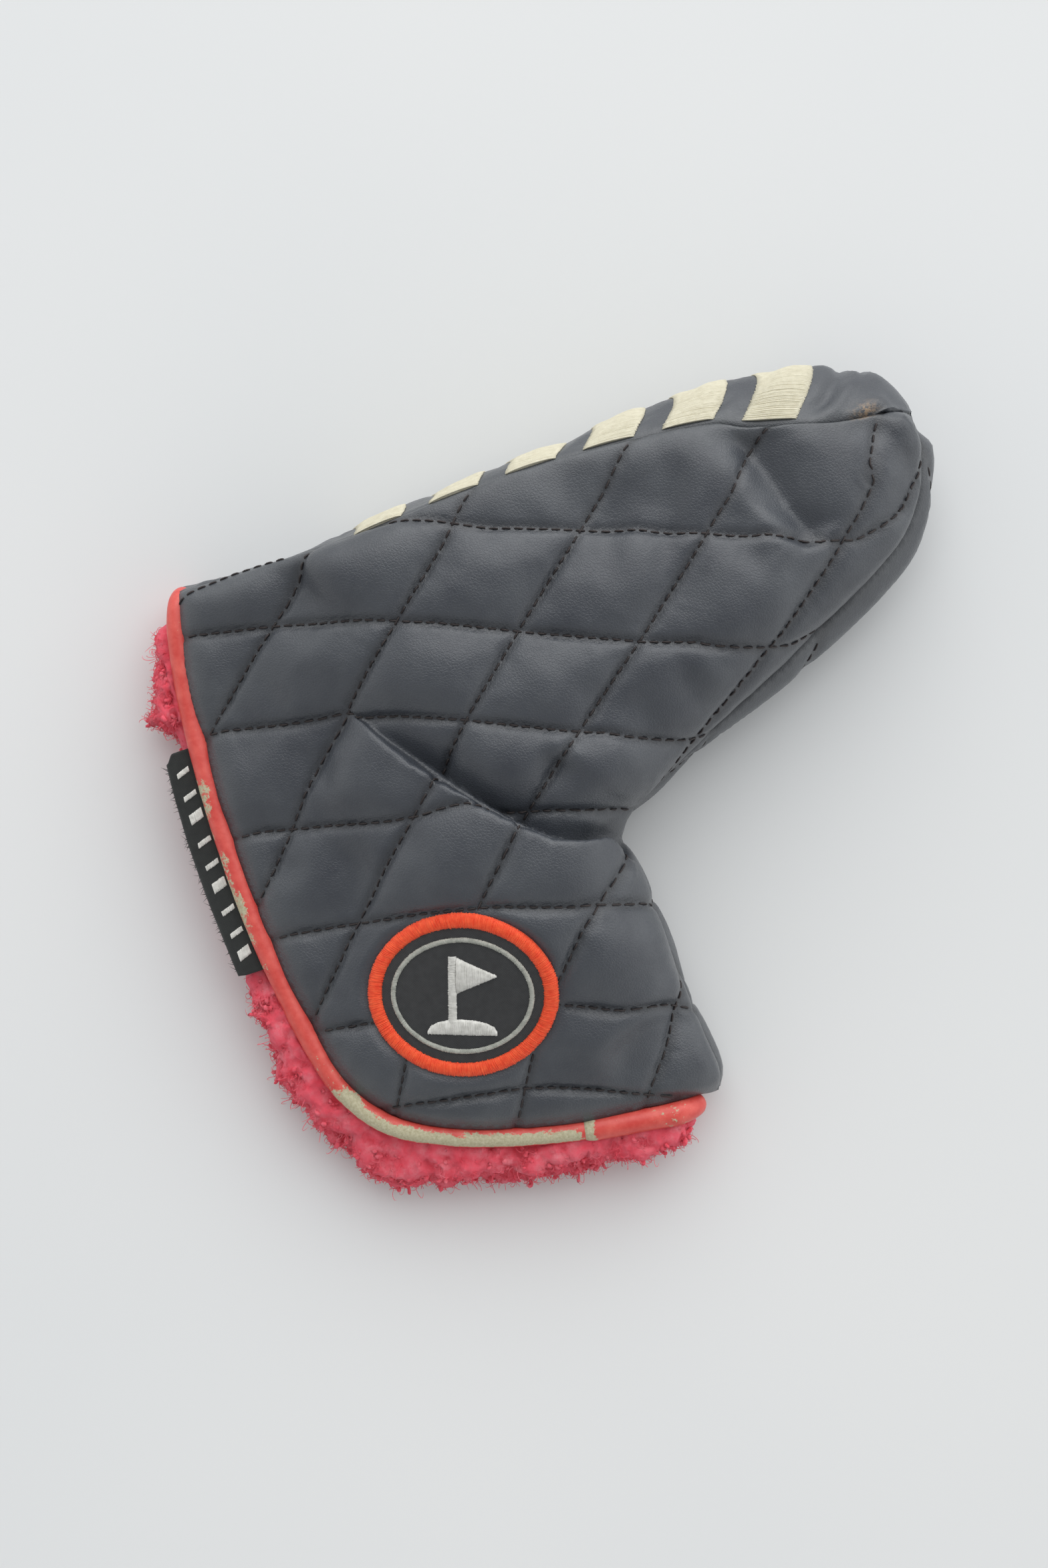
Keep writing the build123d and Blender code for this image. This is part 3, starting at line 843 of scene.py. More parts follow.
def sole_grid(step):
    """The strip's grid of shares, its plan and faces."""
    columns, rows = int(SOLE_WIDTH / step), int(SOLE_LENGTH / step)
    u, v = np.meshgrid(np.linspace(0, 1, rows), np.linspace(0, 1, columns), indexing="ij")
    return u.ravel(), v.ravel(), grid_faces(rows, columns)


u, v, sole_tris = sole_grid(0.9)
sole_plan = np.c_[u * SOLE_LENGTH, v * SOLE_WIDTH]
sole_base = sole_surface(u, v)
sole_tris = turned_to(sole_base, sole_tris, SOLE_OUT)
sole_out = normals_of(sole_base, sole_tris)
to_edge = np.minimum(v, 1 - v) * SOLE_WIDTH
# Height of the strip's surface over its base
relief = fractal(sole_plan, 14, 11) * 0.5 + fractal(sole_plan * [1, 0.4], 4, 12) * 0.18
relief = relief * smooth(to_edge, 0, 5) - 0.7 * bell(to_edge, 1.0)
# The dog-ear at the toe: a groove beside the near seam and a roll next to it
relief = relief - 1.6 * bell(v * SOLE_WIDTH, 1.7) * smooth(u, 0.915, 0.95)
relief = relief + 1.2 * bell(v * SOLE_WIDTH - 5.5, 2.6) * smooth(u, 0.92, 0.965)
# Wrinkles across the strip: place along it, width and depth
SOLE_WRINKLES = ((149, 2.2, 1.6), (156, 1.6, 1.0), (139, 3.0, 0.9), (90, 4.5, 0.7), (60, 5, 0.6))
for place, width, depth in SOLE_WRINKLES:
    across = sole_plan[:, 0] + 3.2 * np.sin(v * 2.6 + place) - place
    relief = relief - depth * bell(across, width) * smooth(v, 0.02, 0.12) * (1 - smooth(v, 0.45, 0.8))
sole_verts = sole_base + sole_out * relief[:, None]
sole_strip = pad("sole_strip", sole_verts, sole_base - sole_out * 3.0, sole_tris)
sole_skin = Skin(sole_plan, sole_verts, sole_tris)
paint(sole_strip, "sewn", np.r_[u * 0, u * 0])
scuff = np.exp(-(((sole_verts[:, 0] - 76.9) / 2.2) ** 2) - ((sole_verts[:, 1] - 59.8) / 1.4) ** 2)
paint(sole_strip, "scuff", np.r_[scuff, u * 0])
# Nearness to the edge, which the leather turns into wear and a painted sheen
paint(sole_strip, "edge", np.r_[np.exp(-to_edge / 4), u * 0])

# ---- threads


def laid(skin, places):
    """The points and normals of a skin over rows of places."""
    return [values.reshape(*places.shape[:2], 3) for values in skin.at(places.reshape(-1, 2))]


def stitches(name, lines, skin, lift=0.06):
    """Sewing thread lying in short stitches along plan lines on a skin."""
    pitch, length, radius, stations = 2.62, 2.2, 0.2, 7
    share = np.linspace(0, 1, stations)
    places = []
    for line in lines:
        first = np.arange(0.6, lengths(line)[-1] - length - 0.2, pitch)
        places.append(points_at(line, first[:, None] + share * length))
    point, normal = laid(skin, np.vstack(places))
    rise = lift + 0.12 - 0.5 * np.abs(2 * share - 1) ** 4  # the ends go down into the leather
    return strands(name, point + normal * rise[:, None], rounded(length, radius, stations), normal)


def satin(name, starts, ends, skin, lift, base, stations, radius, wobble, seed=3):
    """Embroidery: threads side by side, each an arch from a start place to an end place.

    base is the height of the threads' ends over the skin, lift how far an arch rises from there, and wobble how
    far the ends stray."""
    rng = np.random.default_rng(seed)
    share = np.linspace(0, 1, stations)
    starts = starts + rng.normal(0, wobble, starts.shape)
    ends = ends + rng.normal(0, wobble, ends.shape)
    point, normal = laid(skin, starts[:, None] + (ends - starts)[:, None] * share[:, None])
    arch = np.sin(math.pi * share) ** 0.5
    height = base + lift * arch[None] * rng.uniform(0.9, 1.06, (len(starts), 1))
    return strands(name, point + normal * height[..., None], radius, normal, 5)


def core(name, starts, ends, skin, lift, base, stations):
    """The solid bed under a run of satin threads."""
    share = np.linspace(0.02, 0.98, stations)
    places = (starts[:, None] + (ends - starts)[:, None] * share[:, None]).reshape(-1, 2)
    point, normal = skin.at(places)
    arch = np.tile(np.sin(math.pi * np.linspace(0.04, 0.96, stations)) ** 0.5, len(starts))
    top = point + normal * (base + lift * arch * 0.94)[:, None]
    return pad(name, top, point - normal * 0.2, turned_to(top, grid_faces(len(starts), stations), normal))


def embroidered(name, groups, skin, lift, base, stations, **threads):
    """Satin stitching in several groups, each threads over a bed."""
    parts = []
    for i, (a, b) in enumerate(groups):
        parts.append(core(name + "_bed", a, b, skin, lift, base, stations))
        parts.append(satin(name + "_threads", a, b, skin, lift, base, stations, **threads, seed=3 + i))
    return join(name, parts)


RIM_STITCH = {"lift": 0.8, "radius": 0.15, "base": 0.35, "stations": 9, "wobble": 0.06}
RING_STITCH = {"lift": 0.3, "radius": 0.13, "base": 0.5, "stations": 5, "wobble": 0.03}
EMBLEM_STITCH = {"lift": 0.36, "radius": 0.13, "base": 0.55, "stations": 7, "wobble": 0.04}
BAR_STITCH = {"lift": 0.55, "radius": 0.17, "base": 0.1, "stations": 11, "wobble": 0.06}
MARK_STITCH = {"lift": 0.06, "radius": 0.15, "base": 0.0, "stations": 5, "wobble": 0.03}

# The quilting, and a row of topstitching that starts at the heel end of the sole seam
HEEL_TOPSTITCH = [(-76.4, 66.9), (-74, 68.1), (-68, 69.2), (-59, 70.1), (-50, 69.2)]
near_lines = quilt_lines(near_ring, 1.0) + [spline(HEEL_TOPSTITCH, 0.5)]
near_thread = stitches("near_quilting_thread", near_lines, near_skin)
far_thread = stitches("far_quilting_thread", quilt_lines(far_ring, 1.6), far_skin, lift=-0.05)

# ---- piping round the mouth

PIPE = [
    (-74.6, 71.2), (-75.4, 70.8), (-76.5, 69.0), (-77.9, 65.4), (-79.1, 60.4), (-81.1, 48.1),
    (-82.5, 32.4), (-83.1, 17.5), (-82.9, 0.2), (-81.5, -16.3), (-79.3, -31.5), (-76.0, -43.3),
    (-69.1, -52.9), (-58.4, -59.0), (-45.4, -63.7), (-28.8, -67.7), (-12.4, -70.2), (-8.2, -70.8),
    (-5.2, -70.7), (-3.4, -70.0),
]
PIPE_STEP = 0.7
MOUTH_Z = (NEAR_PIPE_Z + FAR_PIPE_Z) / 2


def piping_line(level):
    """The piping's centre at a level, with its two ends turned towards the middle of the mouth."""
    z = np.full(len(PIPE), level)
    turn = MOUTH_Z - level
    z[:3] += turn * np.array([0.86, 0.42, 0.08])
    z[-3:] += turn * np.array([0.1, 0.5, 0.86])
    return spline(np.c_[PIPE, z], PIPE_STEP)


def piping(name, level, radius, seed, stuffed, wear):
    """Leather-covered piping as one closed tube, fuller beyond the lap by a share, and worn by a share."""
    line, sides = piping_line(level), 18
    length = len(line) * PIPE_STEP
    wide = radius + stuffed * (0.22 + 0.38 * smooth(line[:, 0], -28, -25) * smooth(line[:, 1], -50, -60))
    r = rounded(length, 1.0, len(line), 2.4) * wide + fractal(line, 5, seed) * 0.06
    tube = strands(name, line[None], r[None], UP, sides)
    verts = np.zeros(len(tube.data.vertices) * 3)
    tube.data.vertices.foreach_get("co", verts)
    verts = verts.reshape(-1, 3) / MM
    centre = np.repeat(line, sides, 0)
    outward = unit(verts - centre)
    along = unit(np.gradient(line, axis=0))
    side = np.repeat(np.c_[along[:, 1], -along[:, 0]], sides, 0)
    facing = (outward[:, :2] * side).sum(1)
    paint(tube, "wear", worn(verts, np.repeat(np.arange(len(line)) * PIPE_STEP, sides), facing) * wear)
    return tube


def worn(verts, run, facing):
    """How far the red finish has rubbed off the piping: a long patch round the corner, small ones by the label.

    run is the length along the piping, and facing is 1 on the side away from the cover and -1 towards it."""
    x, y = verts[:, 0], verts[:, 1]
    ragged = fractal(np.c_[run, facing * 3, run * 0], 7, 4, 3)
    corner = smooth(y, -40, -46) * smooth(x, -28, -32)
    band = smooth(facing + 0.3 * ragged - 0.28 * smooth(x, -74, -60), -1.0, 0.1)
    band = band * smooth(-facing, -0.99, -0.75)
    label = smooth(y, 36, 30) * smooth(y, -16, -11) * smooth(facing + 0.4 * ragged, -0.1, 0.5)
    label = label * (0.42 + 0.3 * ragged)
    toe = smooth(x, -18, -13) * smooth(x, -3, -7) * smooth(y, -60, -66) * 0.34
    above = smooth(y, -26, -36) * smooth(y, -47, -43) * 0.3
    return np.clip(corner * (0.12 + 0.88 * band) + label + toe + above, 0, 1)


near_piping = piping("near_piping", NEAR_PIPE_Z, PIPE_RADIUS + 0.05, seed=21, stuffed=1.0, wear=1.0)
far_piping = piping("far_piping", FAR_PIPE_Z, PIPE_RADIUS, seed=22, stuffed=0.3, wear=0.5)


def twisted(name, level):
    """The filler cord inside the piping, three plies twisted together."""
    line = piping_line(level)[3:-3]
    along = unit(np.gradient(line, axis=0))
    across = np.c_[-along[:, 1], along[:, 0], along[:, 0] * 0]
    turn = np.arange(len(line)) * PIPE_STEP * 1.1
    plies = []
    for k in range(3):
        angle = turn + k * 2 * math.pi / 3
        plies.append(line + 0.55 * (across * np.cos(angle)[:, None] + UP * np.sin(angle)[:, None]))
    return strands(name, np.array(plies), 0.6, UP, 6)


near_cord, far_cord = twisted("near_piping_cord", NEAR_PIPE_Z), twisted("far_piping_cord", FAR_PIPE_Z)

# Sleeve over the piping's join, with its worn ring
LAP_SWELL = [0.0, 0.2, 0.34, 0.4, 0.4, 0.38, 0.36, 0.36, 0.38, 0.4, 0.4, 0.34, 0.2]
LAP_WEAR = [0.9, 1, 0.9, 0.6, 0.2, 0, 0, 0, 0, 0, 0, 0, 0]
LAP_SIDES = 20
line = piping_line(NEAR_PIPE_Z)
middle = np.linalg.norm(line - sum(cad_box("piping_lap")) / 2, axis=1).argmin()
line = line[middle - 6 : middle + 7]
piping_join = strands("piping_join", line[None], PIPE_RADIUS + 0.3 + np.array([LAP_SWELL]), UP, LAP_SIDES)
paint(piping_join, "wear", np.repeat(LAP_WEAR, LAP_SIDES))

# ---- fleece

FLEECE = [
    (-75, 72), (-78.5, 70), (-81.6, 66), (-83, 61.4), (-85.7, 56.8), (-89.0, 50.5), (-89.4, 45.3),
    (-87.4, 41), (-86.8, 34), (-88, 20), (-88.6, 4), (-88.4, -8), (-89.6, -14), (-90, -20.4),
    (-89.1, -28), (-88.9, -39), (-85.8, -48.3), (-83.4, -51.5), (-79.8, -56.9), (-76.2, -63.4),
    (-70.2, -66.8), (-64, -70.1), (-57.5, -72.3), (-47, -74.1), (-36.7, -75.8), (-24.4, -77.1),
    (-17, -78.2), (-8.4, -78), (-5.4, -75), (-4, -70),
]
INNER = [
    (-5.5, -60), (-6, -40), (-6.5, -18), (-7, -6), (4, 2), (16, 8.5), (30, 15), (43, 21),
    (56, 27.5), (67, 33.5), (75, 40), (80, 47), (78, 51), (72, 52), (52, 56), (28, 61), (0, 62),
    (-40, 62), (-62, 66),
]
FLEECE_THICK = 4.4
FLEECE_EDGE = 2.6  # width over which its edge is rounded
TUFT_LENGTH = 1.7


def fleece_panel(name, surface, gap, pull, seed):
    """A lining sheet behind a panel, with its clumped edge standing out past the piping."""
    outer = spline(FLEECE, 1.2)
    along = unit(np.gradient(outer, axis=0))
    outward = np.c_[along[:, 1], -along[:, 0]]
    ragged = fractal(outer, 6.0, seed, 4) * 1.7 + pull
    outer = outer + outward * ragged[:, None]
    ring = np.vstack([outer, resample(np.array(INNER, float), 2.4)])
    plan, tris = fill(ring[::-1], 0.95, seed)
    base, _, _ = surface(plan)
    up = normals_of(base, tris)
    up = up * np.sign(up[:, 2].mean())
    d = near_line(plan, closed_line(ring))[0]
    half = FLEECE_THICK / 2 * np.sqrt(1 - (1 - np.clip(d / FLEECE_EDGE, 0.02, 1)) ** 2)
    fluff = smooth(near_line(plan, outer)[0], 16, 4)
    middle = base - up * (gap + FLEECE_THICK / 2)
    clump = (0.6 - 1.6 * np.abs(fractal(plan, 5.0, seed + 1, 3))) * (0.35 + 0.65 * fluff)
    clump = clump + 0.3 * fluff * noise(plan, 1.6, seed + 9)
    front = middle + up * (half * (1 + 0.55 * clump))[:, None]
    back = middle - up * (half * (1 + 0.55 * fractal(plan, 3.4, seed + 2, 4)))[:, None]
    slide = np.c_[fractal(plan, 3, seed + 3), fractal(plan, 3, seed + 4)] * 0.5 * fluff[:, None]
    front[:, :2] += slide
    back[:, :2] += slide
    sheet = pad(name, front, back, turned_to(flat(plan), tris, UP))
    return sheet, outer, Plan(plan, tris), middle


def tufts(name, outer, sheet, middle, count, seed, radius, stray=0.0):
    """Matted strands standing out of a lining's edge."""
    rng = np.random.default_rng(seed)
    at = rng.uniform(0.035, 0.975, count)
    edge = at_share(outer, at)
    ahead = at_share(outer, np.clip(at + 0.002, 0, 1)) - at_share(outer, np.clip(at - 0.002, 0, 1))
    along = unit(ahead)
    outward = np.c_[along[:, 1], -along[:, 0], along[:, 0] * 0]
    lean = rng.uniform(-1.3, 1.3, count)  # up or down out of the edge
    inset = rng.uniform(0.2, 5.5, count) * (np.abs(lean) > 0.5) + rng.uniform(0.2, 1.4, count)
    root = sheet.read(edge - outward[:, :2] * inset[:, None], middle)[0]
    rim_round = np.sqrt(np.clip(1 - (1 - np.clip(inset / FLEECE_EDGE, 0, 1)) ** 2, 0.05, 1))
    root = root + UP * (np.sin(lean) * FLEECE_THICK / 2 * rim_round * 0.9)[:, None]
    direction = unit(
        outward * (0.35 + np.cos(lean))[:, None] * 0.8
        + UP * (np.sin(lean) * 0.8)[:, None]
        + np.c_[along, along[:, 0] * 0] * rng.normal(0, 0.9, count)[:, None]
    )
    covered = (edge[:, 1] > -15) & (edge[:, 1] < 41)  # by the label
    side = unit(rng.normal(0, 1, (count, 3)) * [1, 1, 0.5])
    stations = 8
    t = np.linspace(0, 1, stations)
    size = TUFT_LENGTH * (rng.uniform(0.45, 1.2, count) + stray * rng.random(count) ** 9)
    size = size * np.where(covered, 0.35, 1.0)
    turns = rng.uniform(1.6, 3.6, count)[:, None] * t
    centre = root[:, None] + direction[:, None] * (size[:, None] * np.sin(turns * 0.9) / 2)[..., None]
    centre = centre + side[:, None] * (size[:, None] * (1 - np.cos(turns)) / 2.6)[..., None]
    thickness = radius * rng.uniform(0.7, 1.3, count)[:, None] * np.sqrt(1.03 - (2 * t - 1) ** 2)
    return strands(name, centre, thickness, np.array([0.05, 0.02, 1.0]), 5)


def lining(side, surface, gap, pull, seed):
    """A side's whole lining: the sheet, its clumps and its fine strands."""
    sheet, outer, plan, middle = fleece_panel(side + "_fleece", surface, gap, pull, seed)
    clumps = tufts(side + "_clumps", outer, plan, middle, count=560, seed=seed + 10, radius=0.5)
    wisps = tufts(side + "_wisps", outer, plan, middle, count=7500, seed=seed + 11, radius=0.06, stray=1.6)
    return join(side + "_fleece", [sheet, clumps, wisps])


def near_inside(p):
    """The near side's pad where its lining lies against it."""
    base, d, to_rim = near_surface(p)
    base[:, 2] += np.minimum(creased(p), 0) * 1.1 * smooth(d, 0.5, 6) - 0.3 * np.maximum(0, 12 - d)
    base[:, 2] -= 2.3 * smooth(p[:, 0], -79, -83) * smooth(p[:, 1], -17, -13) * smooth(p[:, 1], 44, 40)
    return base, d, to_rim


def far_inside(p):
    """The inner face of the far side, for its lining."""
    _, d, to_rim = far_surface(p)
    return np.c_[p, FLOOR_GAP + 0.12 * np.maximum(0, 12 - d)], d, to_rim


near_fleece = lining("near", near_inside, gap=PAD - 0.4, pull=-1.4, seed=31)
far_fleece = lining("far", far_inside, gap=-(PAD + FLEECE_THICK + 0.2), pull=0.1, seed=51)

# The strip's lining, a little smaller than the strip
u, v, lining_tris = sole_grid(2.2)
u, v = u * 0.97, 0.12 + v * 0.76
base = sole_surface(u, v)
lining_tris = turned_to(base, lining_tris, SOLE_OUT)
out = normals_of(base, lining_tris)
cell = np.c_[u * SOLE_LENGTH, v * SOLE_WIDTH]
inner = base - out * (5.4 + 0.7 * fractal(cell, 3.4, 71, 3))[:, None]
sole_fleece = pad("sole_fleece", base - out * 3.2, inner, lining_tris)

# ---- badge


def badge_xy(x, y):
    """Plan places from places in the badge's own upright frame."""
    c, s = math.cos(PICTURE_TURN), math.sin(PICTURE_TURN)
    return np.stack([BADGE[0] + x * c - y * s, BADGE[1] + x * s + y * c], -1)


def oval(radii, count, start=0.0):
    """Places round an oval of the badge."""
    angle = start + np.arange(count) * 2 * math.pi / count
    return badge_xy(radii[0] * np.cos(angle), radii[1] * np.sin(angle))


plan, tris = fill(oval(BADGE_RADII - 0.5, 120), 0.9, seed=81)
point, normal = near_skin.at(plan)
weave = 0.035 * np.sin(plan[:, 0] * 9) * np.sin(plan[:, 1] * 9)
patch_base = pad("badge_base", point + normal * (0.5 + weave)[:, None], point - normal * 0.15, tris)


def band(outer, width, count):
    """Start and end places of threads across an oval band, closed on itself."""
    return [(closed_line(oval(outer - width, count)), closed_line(oval(outer, count, 0.02)))]


rim_band = band(BADGE_RADII + 0.1, width=3.1, count=620)
ring_band = band(BADGE_RADII - 5.1, width=0.95, count=360)
patch_border = embroidered("badge_border", rim_band, near_skin, **RIM_STITCH)
patch_ring = embroidered("badge_ring", ring_band, near_skin, **RING_STITCH)


def filled(corners_low, corners_high, pitch):
    """Start and end places of threads that fill the space between two lines in the badge's frame."""
    low, high = np.array(corners_low, float), np.array(corners_high, float)
    count = max(3, int(np.linalg.norm(low[-1] - low[0]) / pitch))
    share = np.linspace(0, 1, count)
    a, b = at_share(low, share), at_share(high, share)
    return badge_xy(a[:, 0], a[:, 1]), badge_xy(b[:, 0], b[:, 1])


# Pin flag: a pole on a low mound with a pennant
turn = np.linspace(math.pi, 0, 9)
mound = np.c_[7.2 * np.cos(turn), -7.6 + 2.5 * np.sin(turn)]
emblem = [
    filled([(-2.9, -5.8), (-2.9, 8.4)], [(-1.2, -5.8), (-1.2, 8.4)], 0.2),
    filled([(-1.0, 8.2), (7.2, 4.6)], [(-1.0, 0.6), (7.2, 4.3)], 0.2),
    filled(mound, mound * [1, 0] + [0, -8.4], 0.2),
]
patch_emblem = embroidered("badge_emblem", emblem, near_skin, **EMBLEM_STITCH)

# ---- raised bars along the sole strip

SHARES = np.linspace(0, 1, 400)
sole_x = sole_surface(SHARES, np.full(len(SHARES), 0.5))[:, 0]


def sole_u(x):
    """The length along the strip at which it crosses an x."""
    return np.interp(x, sole_x, SHARES * SOLE_LENGTH)


# Six slanted bars over a line
BARS, BAR_PITCH, BAR_START, BAR_WIDTH, BAR_LEAN = 6, 18.6, -38.0, 12.0, 8.0
BAR_FOOT, BAR_TOP = 26.5, 1.0
bars = []
rise = np.linspace(0, 1, 130)
high = BAR_FOOT + (BAR_TOP - BAR_FOOT) * rise
for i in range(BARS):
    left = BAR_START + i * BAR_PITCH + BAR_LEAN * rise
    bars.append((np.c_[sole_u(left), high], np.c_[sole_u(left + BAR_WIDTH), high]))
run = np.arange(sole_u(BAR_START), sole_u(BAR_START + (BARS - 1) * BAR_PITCH + BAR_WIDTH), 0.24)
bars.append((flat(run, BAR_FOOT + 2.2), flat(run + 0.5, BAR_FOOT - 0.6)))
sole_bars = embroidered("sole_bars", bars, sole_skin, **BAR_STITCH)

# ---- woven label

label_low, label_high = cad_box("woven_label")
LABEL_OUT = 2.2
LABEL_TAPE = 0.42
LABEL_LENGTH, LABEL_AROUND = 51, 17


def label_point(s, w):
    """The folded tape: s along its cross-section from the top inner edge round the fold, w up the label."""
    inner, outer = label_high[0] + 0.3, label_low[0] - LABEL_OUT
    layer, bend = inner - outer - 0.5, math.pi * 0.5
    at = s * (2 * layer + bend)
    top, low = label_high[2] - 0.25, label_high[2] - 1.25
    part = [at < layer, at < layer + bend]  # the upper layer, then the fold, then the lower layer
    angle = np.clip((at - layer) / bend, 0, 1) * math.pi
    x = np.select(
        part, [inner - at, inner - layer - 0.5 * np.sin(angle)], inner - layer + (at - layer - bend)
    )
    z = np.select(part, [top, (top + low) / 2 + (top - low) / 2 * np.cos(angle)], low)
    y = label_low[1] + w * (label_high[1] - label_low[1])
    fold_share = (inner - x) / layer
    y = y + (1 - 2 * w) * 1.6 * smooth(fold_share, 0.75, 1.05) * (0.2 + smooth(w, 0.7, 1))
    bow = 1.1 * np.sin(math.pi * w) - 0.6
    sag = -0.9 * fold_share**2 * (0.6 + 0.4 * np.sin(w * 5))
    return np.stack([x - bow * fold_share, y, z + sag + 0.12 * np.sin(w * 23) * fold_share], -1)


rows, columns = 44, 110  # across the fold and along the label
s, w = np.meshgrid(np.linspace(0, 1, rows), np.linspace(0, 1, columns), indexing="ij")
s, w = s.ravel(), w.ravel()
outer_face = label_point(s, w)
label_tris = turned_to(outer_face, grid_faces(rows, columns), UP * (s < 0.3)[:, None])
label_out = normals_of(outer_face, label_tris)
rib = 0.02 * np.sin(w * LABEL_LENGTH * 7)
inner_face = outer_face - label_out * LABEL_TAPE * 0.8
woven_label = pad("woven_label_tape", outer_face + label_out * rib[:, None], inner_face, label_tris)
label_skin = Skin(np.c_[s * LABEL_AROUND, w * LABEL_LENGTH], outer_face, label_tris)
# Nine short woven bars, every third one wider
MARKS, MARK_PITCH, MARK_START, MARK_LEAN, MARK_FOOT, MARK_HEIGHT = 9, 5.25, 3.3, 0.9, 6.0, 2.9
starts, ends = [], []
rise = np.linspace(0, 1, 13)
for i in range(MARKS):
    left = MARK_START + i * MARK_PITCH + rise * MARK_LEAN
    starts.append(np.c_[MARK_FOOT - rise * MARK_HEIGHT, left])
    ends.append(np.c_[MARK_FOOT - rise * MARK_HEIGHT, left + (1.1 if i % 3 else 2.2)])
starts, ends = np.vstack(starts), np.vstack(ends)
label_marks = satin("woven_label_marks", starts, ends, label_skin, **MARK_STITCH)
# Loose threads along the label's fold
rng = np.random.default_rng(7)
count = 90
at = rng.uniform(0.02, 0.98, count)
root = label_point(np.full(count, 0.5) + rng.normal(0, 0.02, count), at)
t = np.linspace(0, 1, 5)
size = rng.uniform(0.3, 1.3, count)
lead = np.c_[-np.ones(count), rng.normal(0, 0.7, count), rng.normal(0, 0.35, count)]
fray = root[:, None] + lead[:, None] * (size[:, None] * t)[..., None]
label_fray = strands("woven_label_fray", fray, 0.07 * (1.1 - t), np.array([0, 0.1, 1.0]), 4)

# ---- hook and loop strips


def strip(name, low, high, seed, hooks):
    """A fastener strip: a thin tape with rows of hooks or a nap of loops on it."""
    z = low[2] + 0.2
    low, high = low[:2] + [1, 0], high[:2] - [1, 0]
    corners = [(low[0], low[1]), (high[0], low[1]), (high[0], high[1]), (low[0], high[1])]
    ring = resample(np.array(corners + corners[:1], float), 1.5)[:-1]
    plan, tris = fill(ring, 1.5, seed)
    face = 1 if hooks else -1
    tris = tris if hooks else tris[:, ::-1]
    tape = pad(name + "_tape", flat(plan, z + 0.25 * face), flat(plan, z - 0.25 * face), tris)
    rng = np.random.default_rng(seed)
    gx, gy = np.meshgrid(*(np.arange(low[k] + 0.6, high[k] - 0.4, 1.0) for k in range(2)))
    root = np.c_[gx.ravel(), gy.ravel()] + rng.normal(0, 0.1, (gx.size, 2))
    t = np.linspace(0, 1, 6)
    turn = rng.uniform(0, 2 * math.pi, len(root)) if not hooks else np.zeros(len(root))
    bend = 0.45 * np.sin(t * math.pi * (0.75 if hooks else 1.0))
    rise = np.sin(t * math.pi * 0.62) * 0.75
    x, y = root[:, :1] + np.cos(turn)[:, None] * bend, root[:, 1:] + np.sin(turn)[:, None] * bend
    centre = np.stack([x, y, np.broadcast_to(z + face * (0.2 + rise), x.shape)], -1)
    nap = strands(name + "_nap", centre, 0.1, np.array([0.3, 0.2, 1.0]), 4)
    return join(name, [tape, nap])


hook_pad = strip("hook_pad", *cad_box("hook_strip"), 91, True)
loop_pad = strip("loop_pad", *cad_box("loop_strip"), 92, False)

# ---- materials


def srgb(r, g, b):
    """A colour given as screen values from 0 to 255."""
    return tuple(((c / 255 + 0.055) / 1.055) ** 2.4 if c > 10 else c / 3294.6 for c in (r, g, b)) + (1.0,)


class Nodes:
    """The node tree of a material or a world."""

    def __init__(self, owner):
        owner.use_nodes = True
        self.nodes, self.links = owner.node_tree.nodes, owner.node_tree.links

    def node(self, kind, inputs, output=0, **settings):
        """A new node's output. Its inputs are values or other nodes' outputs."""
        node = self.nodes.new("ShaderNode" + kind)
        for key, value in settings.items():
            setattr(node, key, value)
        for key, value in inputs.items():
            socket = node.inputs[key]
            if isinstance(value, bpy.types.NodeSocket):
                self.links.new(value, socket)
            else:
                socket.default_value = value
        return node.outputs[output]

    def ramp(self, value, *stops):
        """A colour or grey for each value, from stops of a position and a colour or grey."""
        out = self.node("ValToRGB", {"Fac": value})
        elements = out.node.color_ramp.elements
        while len(elements) < len(stops):
            elements.new(0.5)
        for element, (at, color) in zip(elements, stops):
            element.position = at
            element.color = color if isinstance(color, tuple) else (color, color, color, 1)
        return out


class Look(Nodes):
    """A procedural material. Lengths in its textures are in mm."""

    def __init__(self, name, **sockets):
        self.material = bpy.data.materials.new(name)
        super().__init__(self.material)
        self.shader = self.nodes["Principled BSDF"]
        for key, value in sockets.items():
            self.shader.inputs[key.replace("_", " ")].default_value = value
        self.normal = None

    def read(self, name, output="Fac"):
        """A number stored at the vertices."""
        return self.node("Attribute", {}, output, attribute_name=name)

    def place(self):
        """The place on the piece in mm, which doesn't move with a pose."""
        return self.node("Mapping", {"Vector": self.read("place", "Vector")})

    def noise(self, scale, detail=3.0, rough=0.55, **extra):
        inputs = {"Vector": self.place(), "Scale": scale, "Detail": detail, "Roughness": rough, **extra}
        return self.node("TexNoise", inputs)

    def mix(self, share, a, b):
        return self.node("Mix", {0: share, 6: a, 7: b}, 2, data_type="RGBA")

    def math(self, how, a, b=0.0):
        return self.node("Math", {0: a, 1: b}, operation=how)

    def times(self, a, b):
        return self.math("MULTIPLY", a, b)

    def bump(self, height, depth, strength=1.0):
        """Adds to the material's bump, a height map with a depth in mm."""
        inputs = {"Height": height, "Distance": depth * MM, "Strength": strength}
        if self.normal is not None:
            inputs["Normal"] = self.normal
        self.normal = self.node("Bump", inputs)

    def done(self, color, roughness=None):
        """The finished material."""
        self.links.new(color, self.shader.inputs["Base Color"])
        if roughness is not None:
            self.links.new(roughness, self.shader.inputs["Roughness"])
        if self.normal is not None:
            self.links.new(self.normal, self.shader.inputs["Normal"])
        return self.material


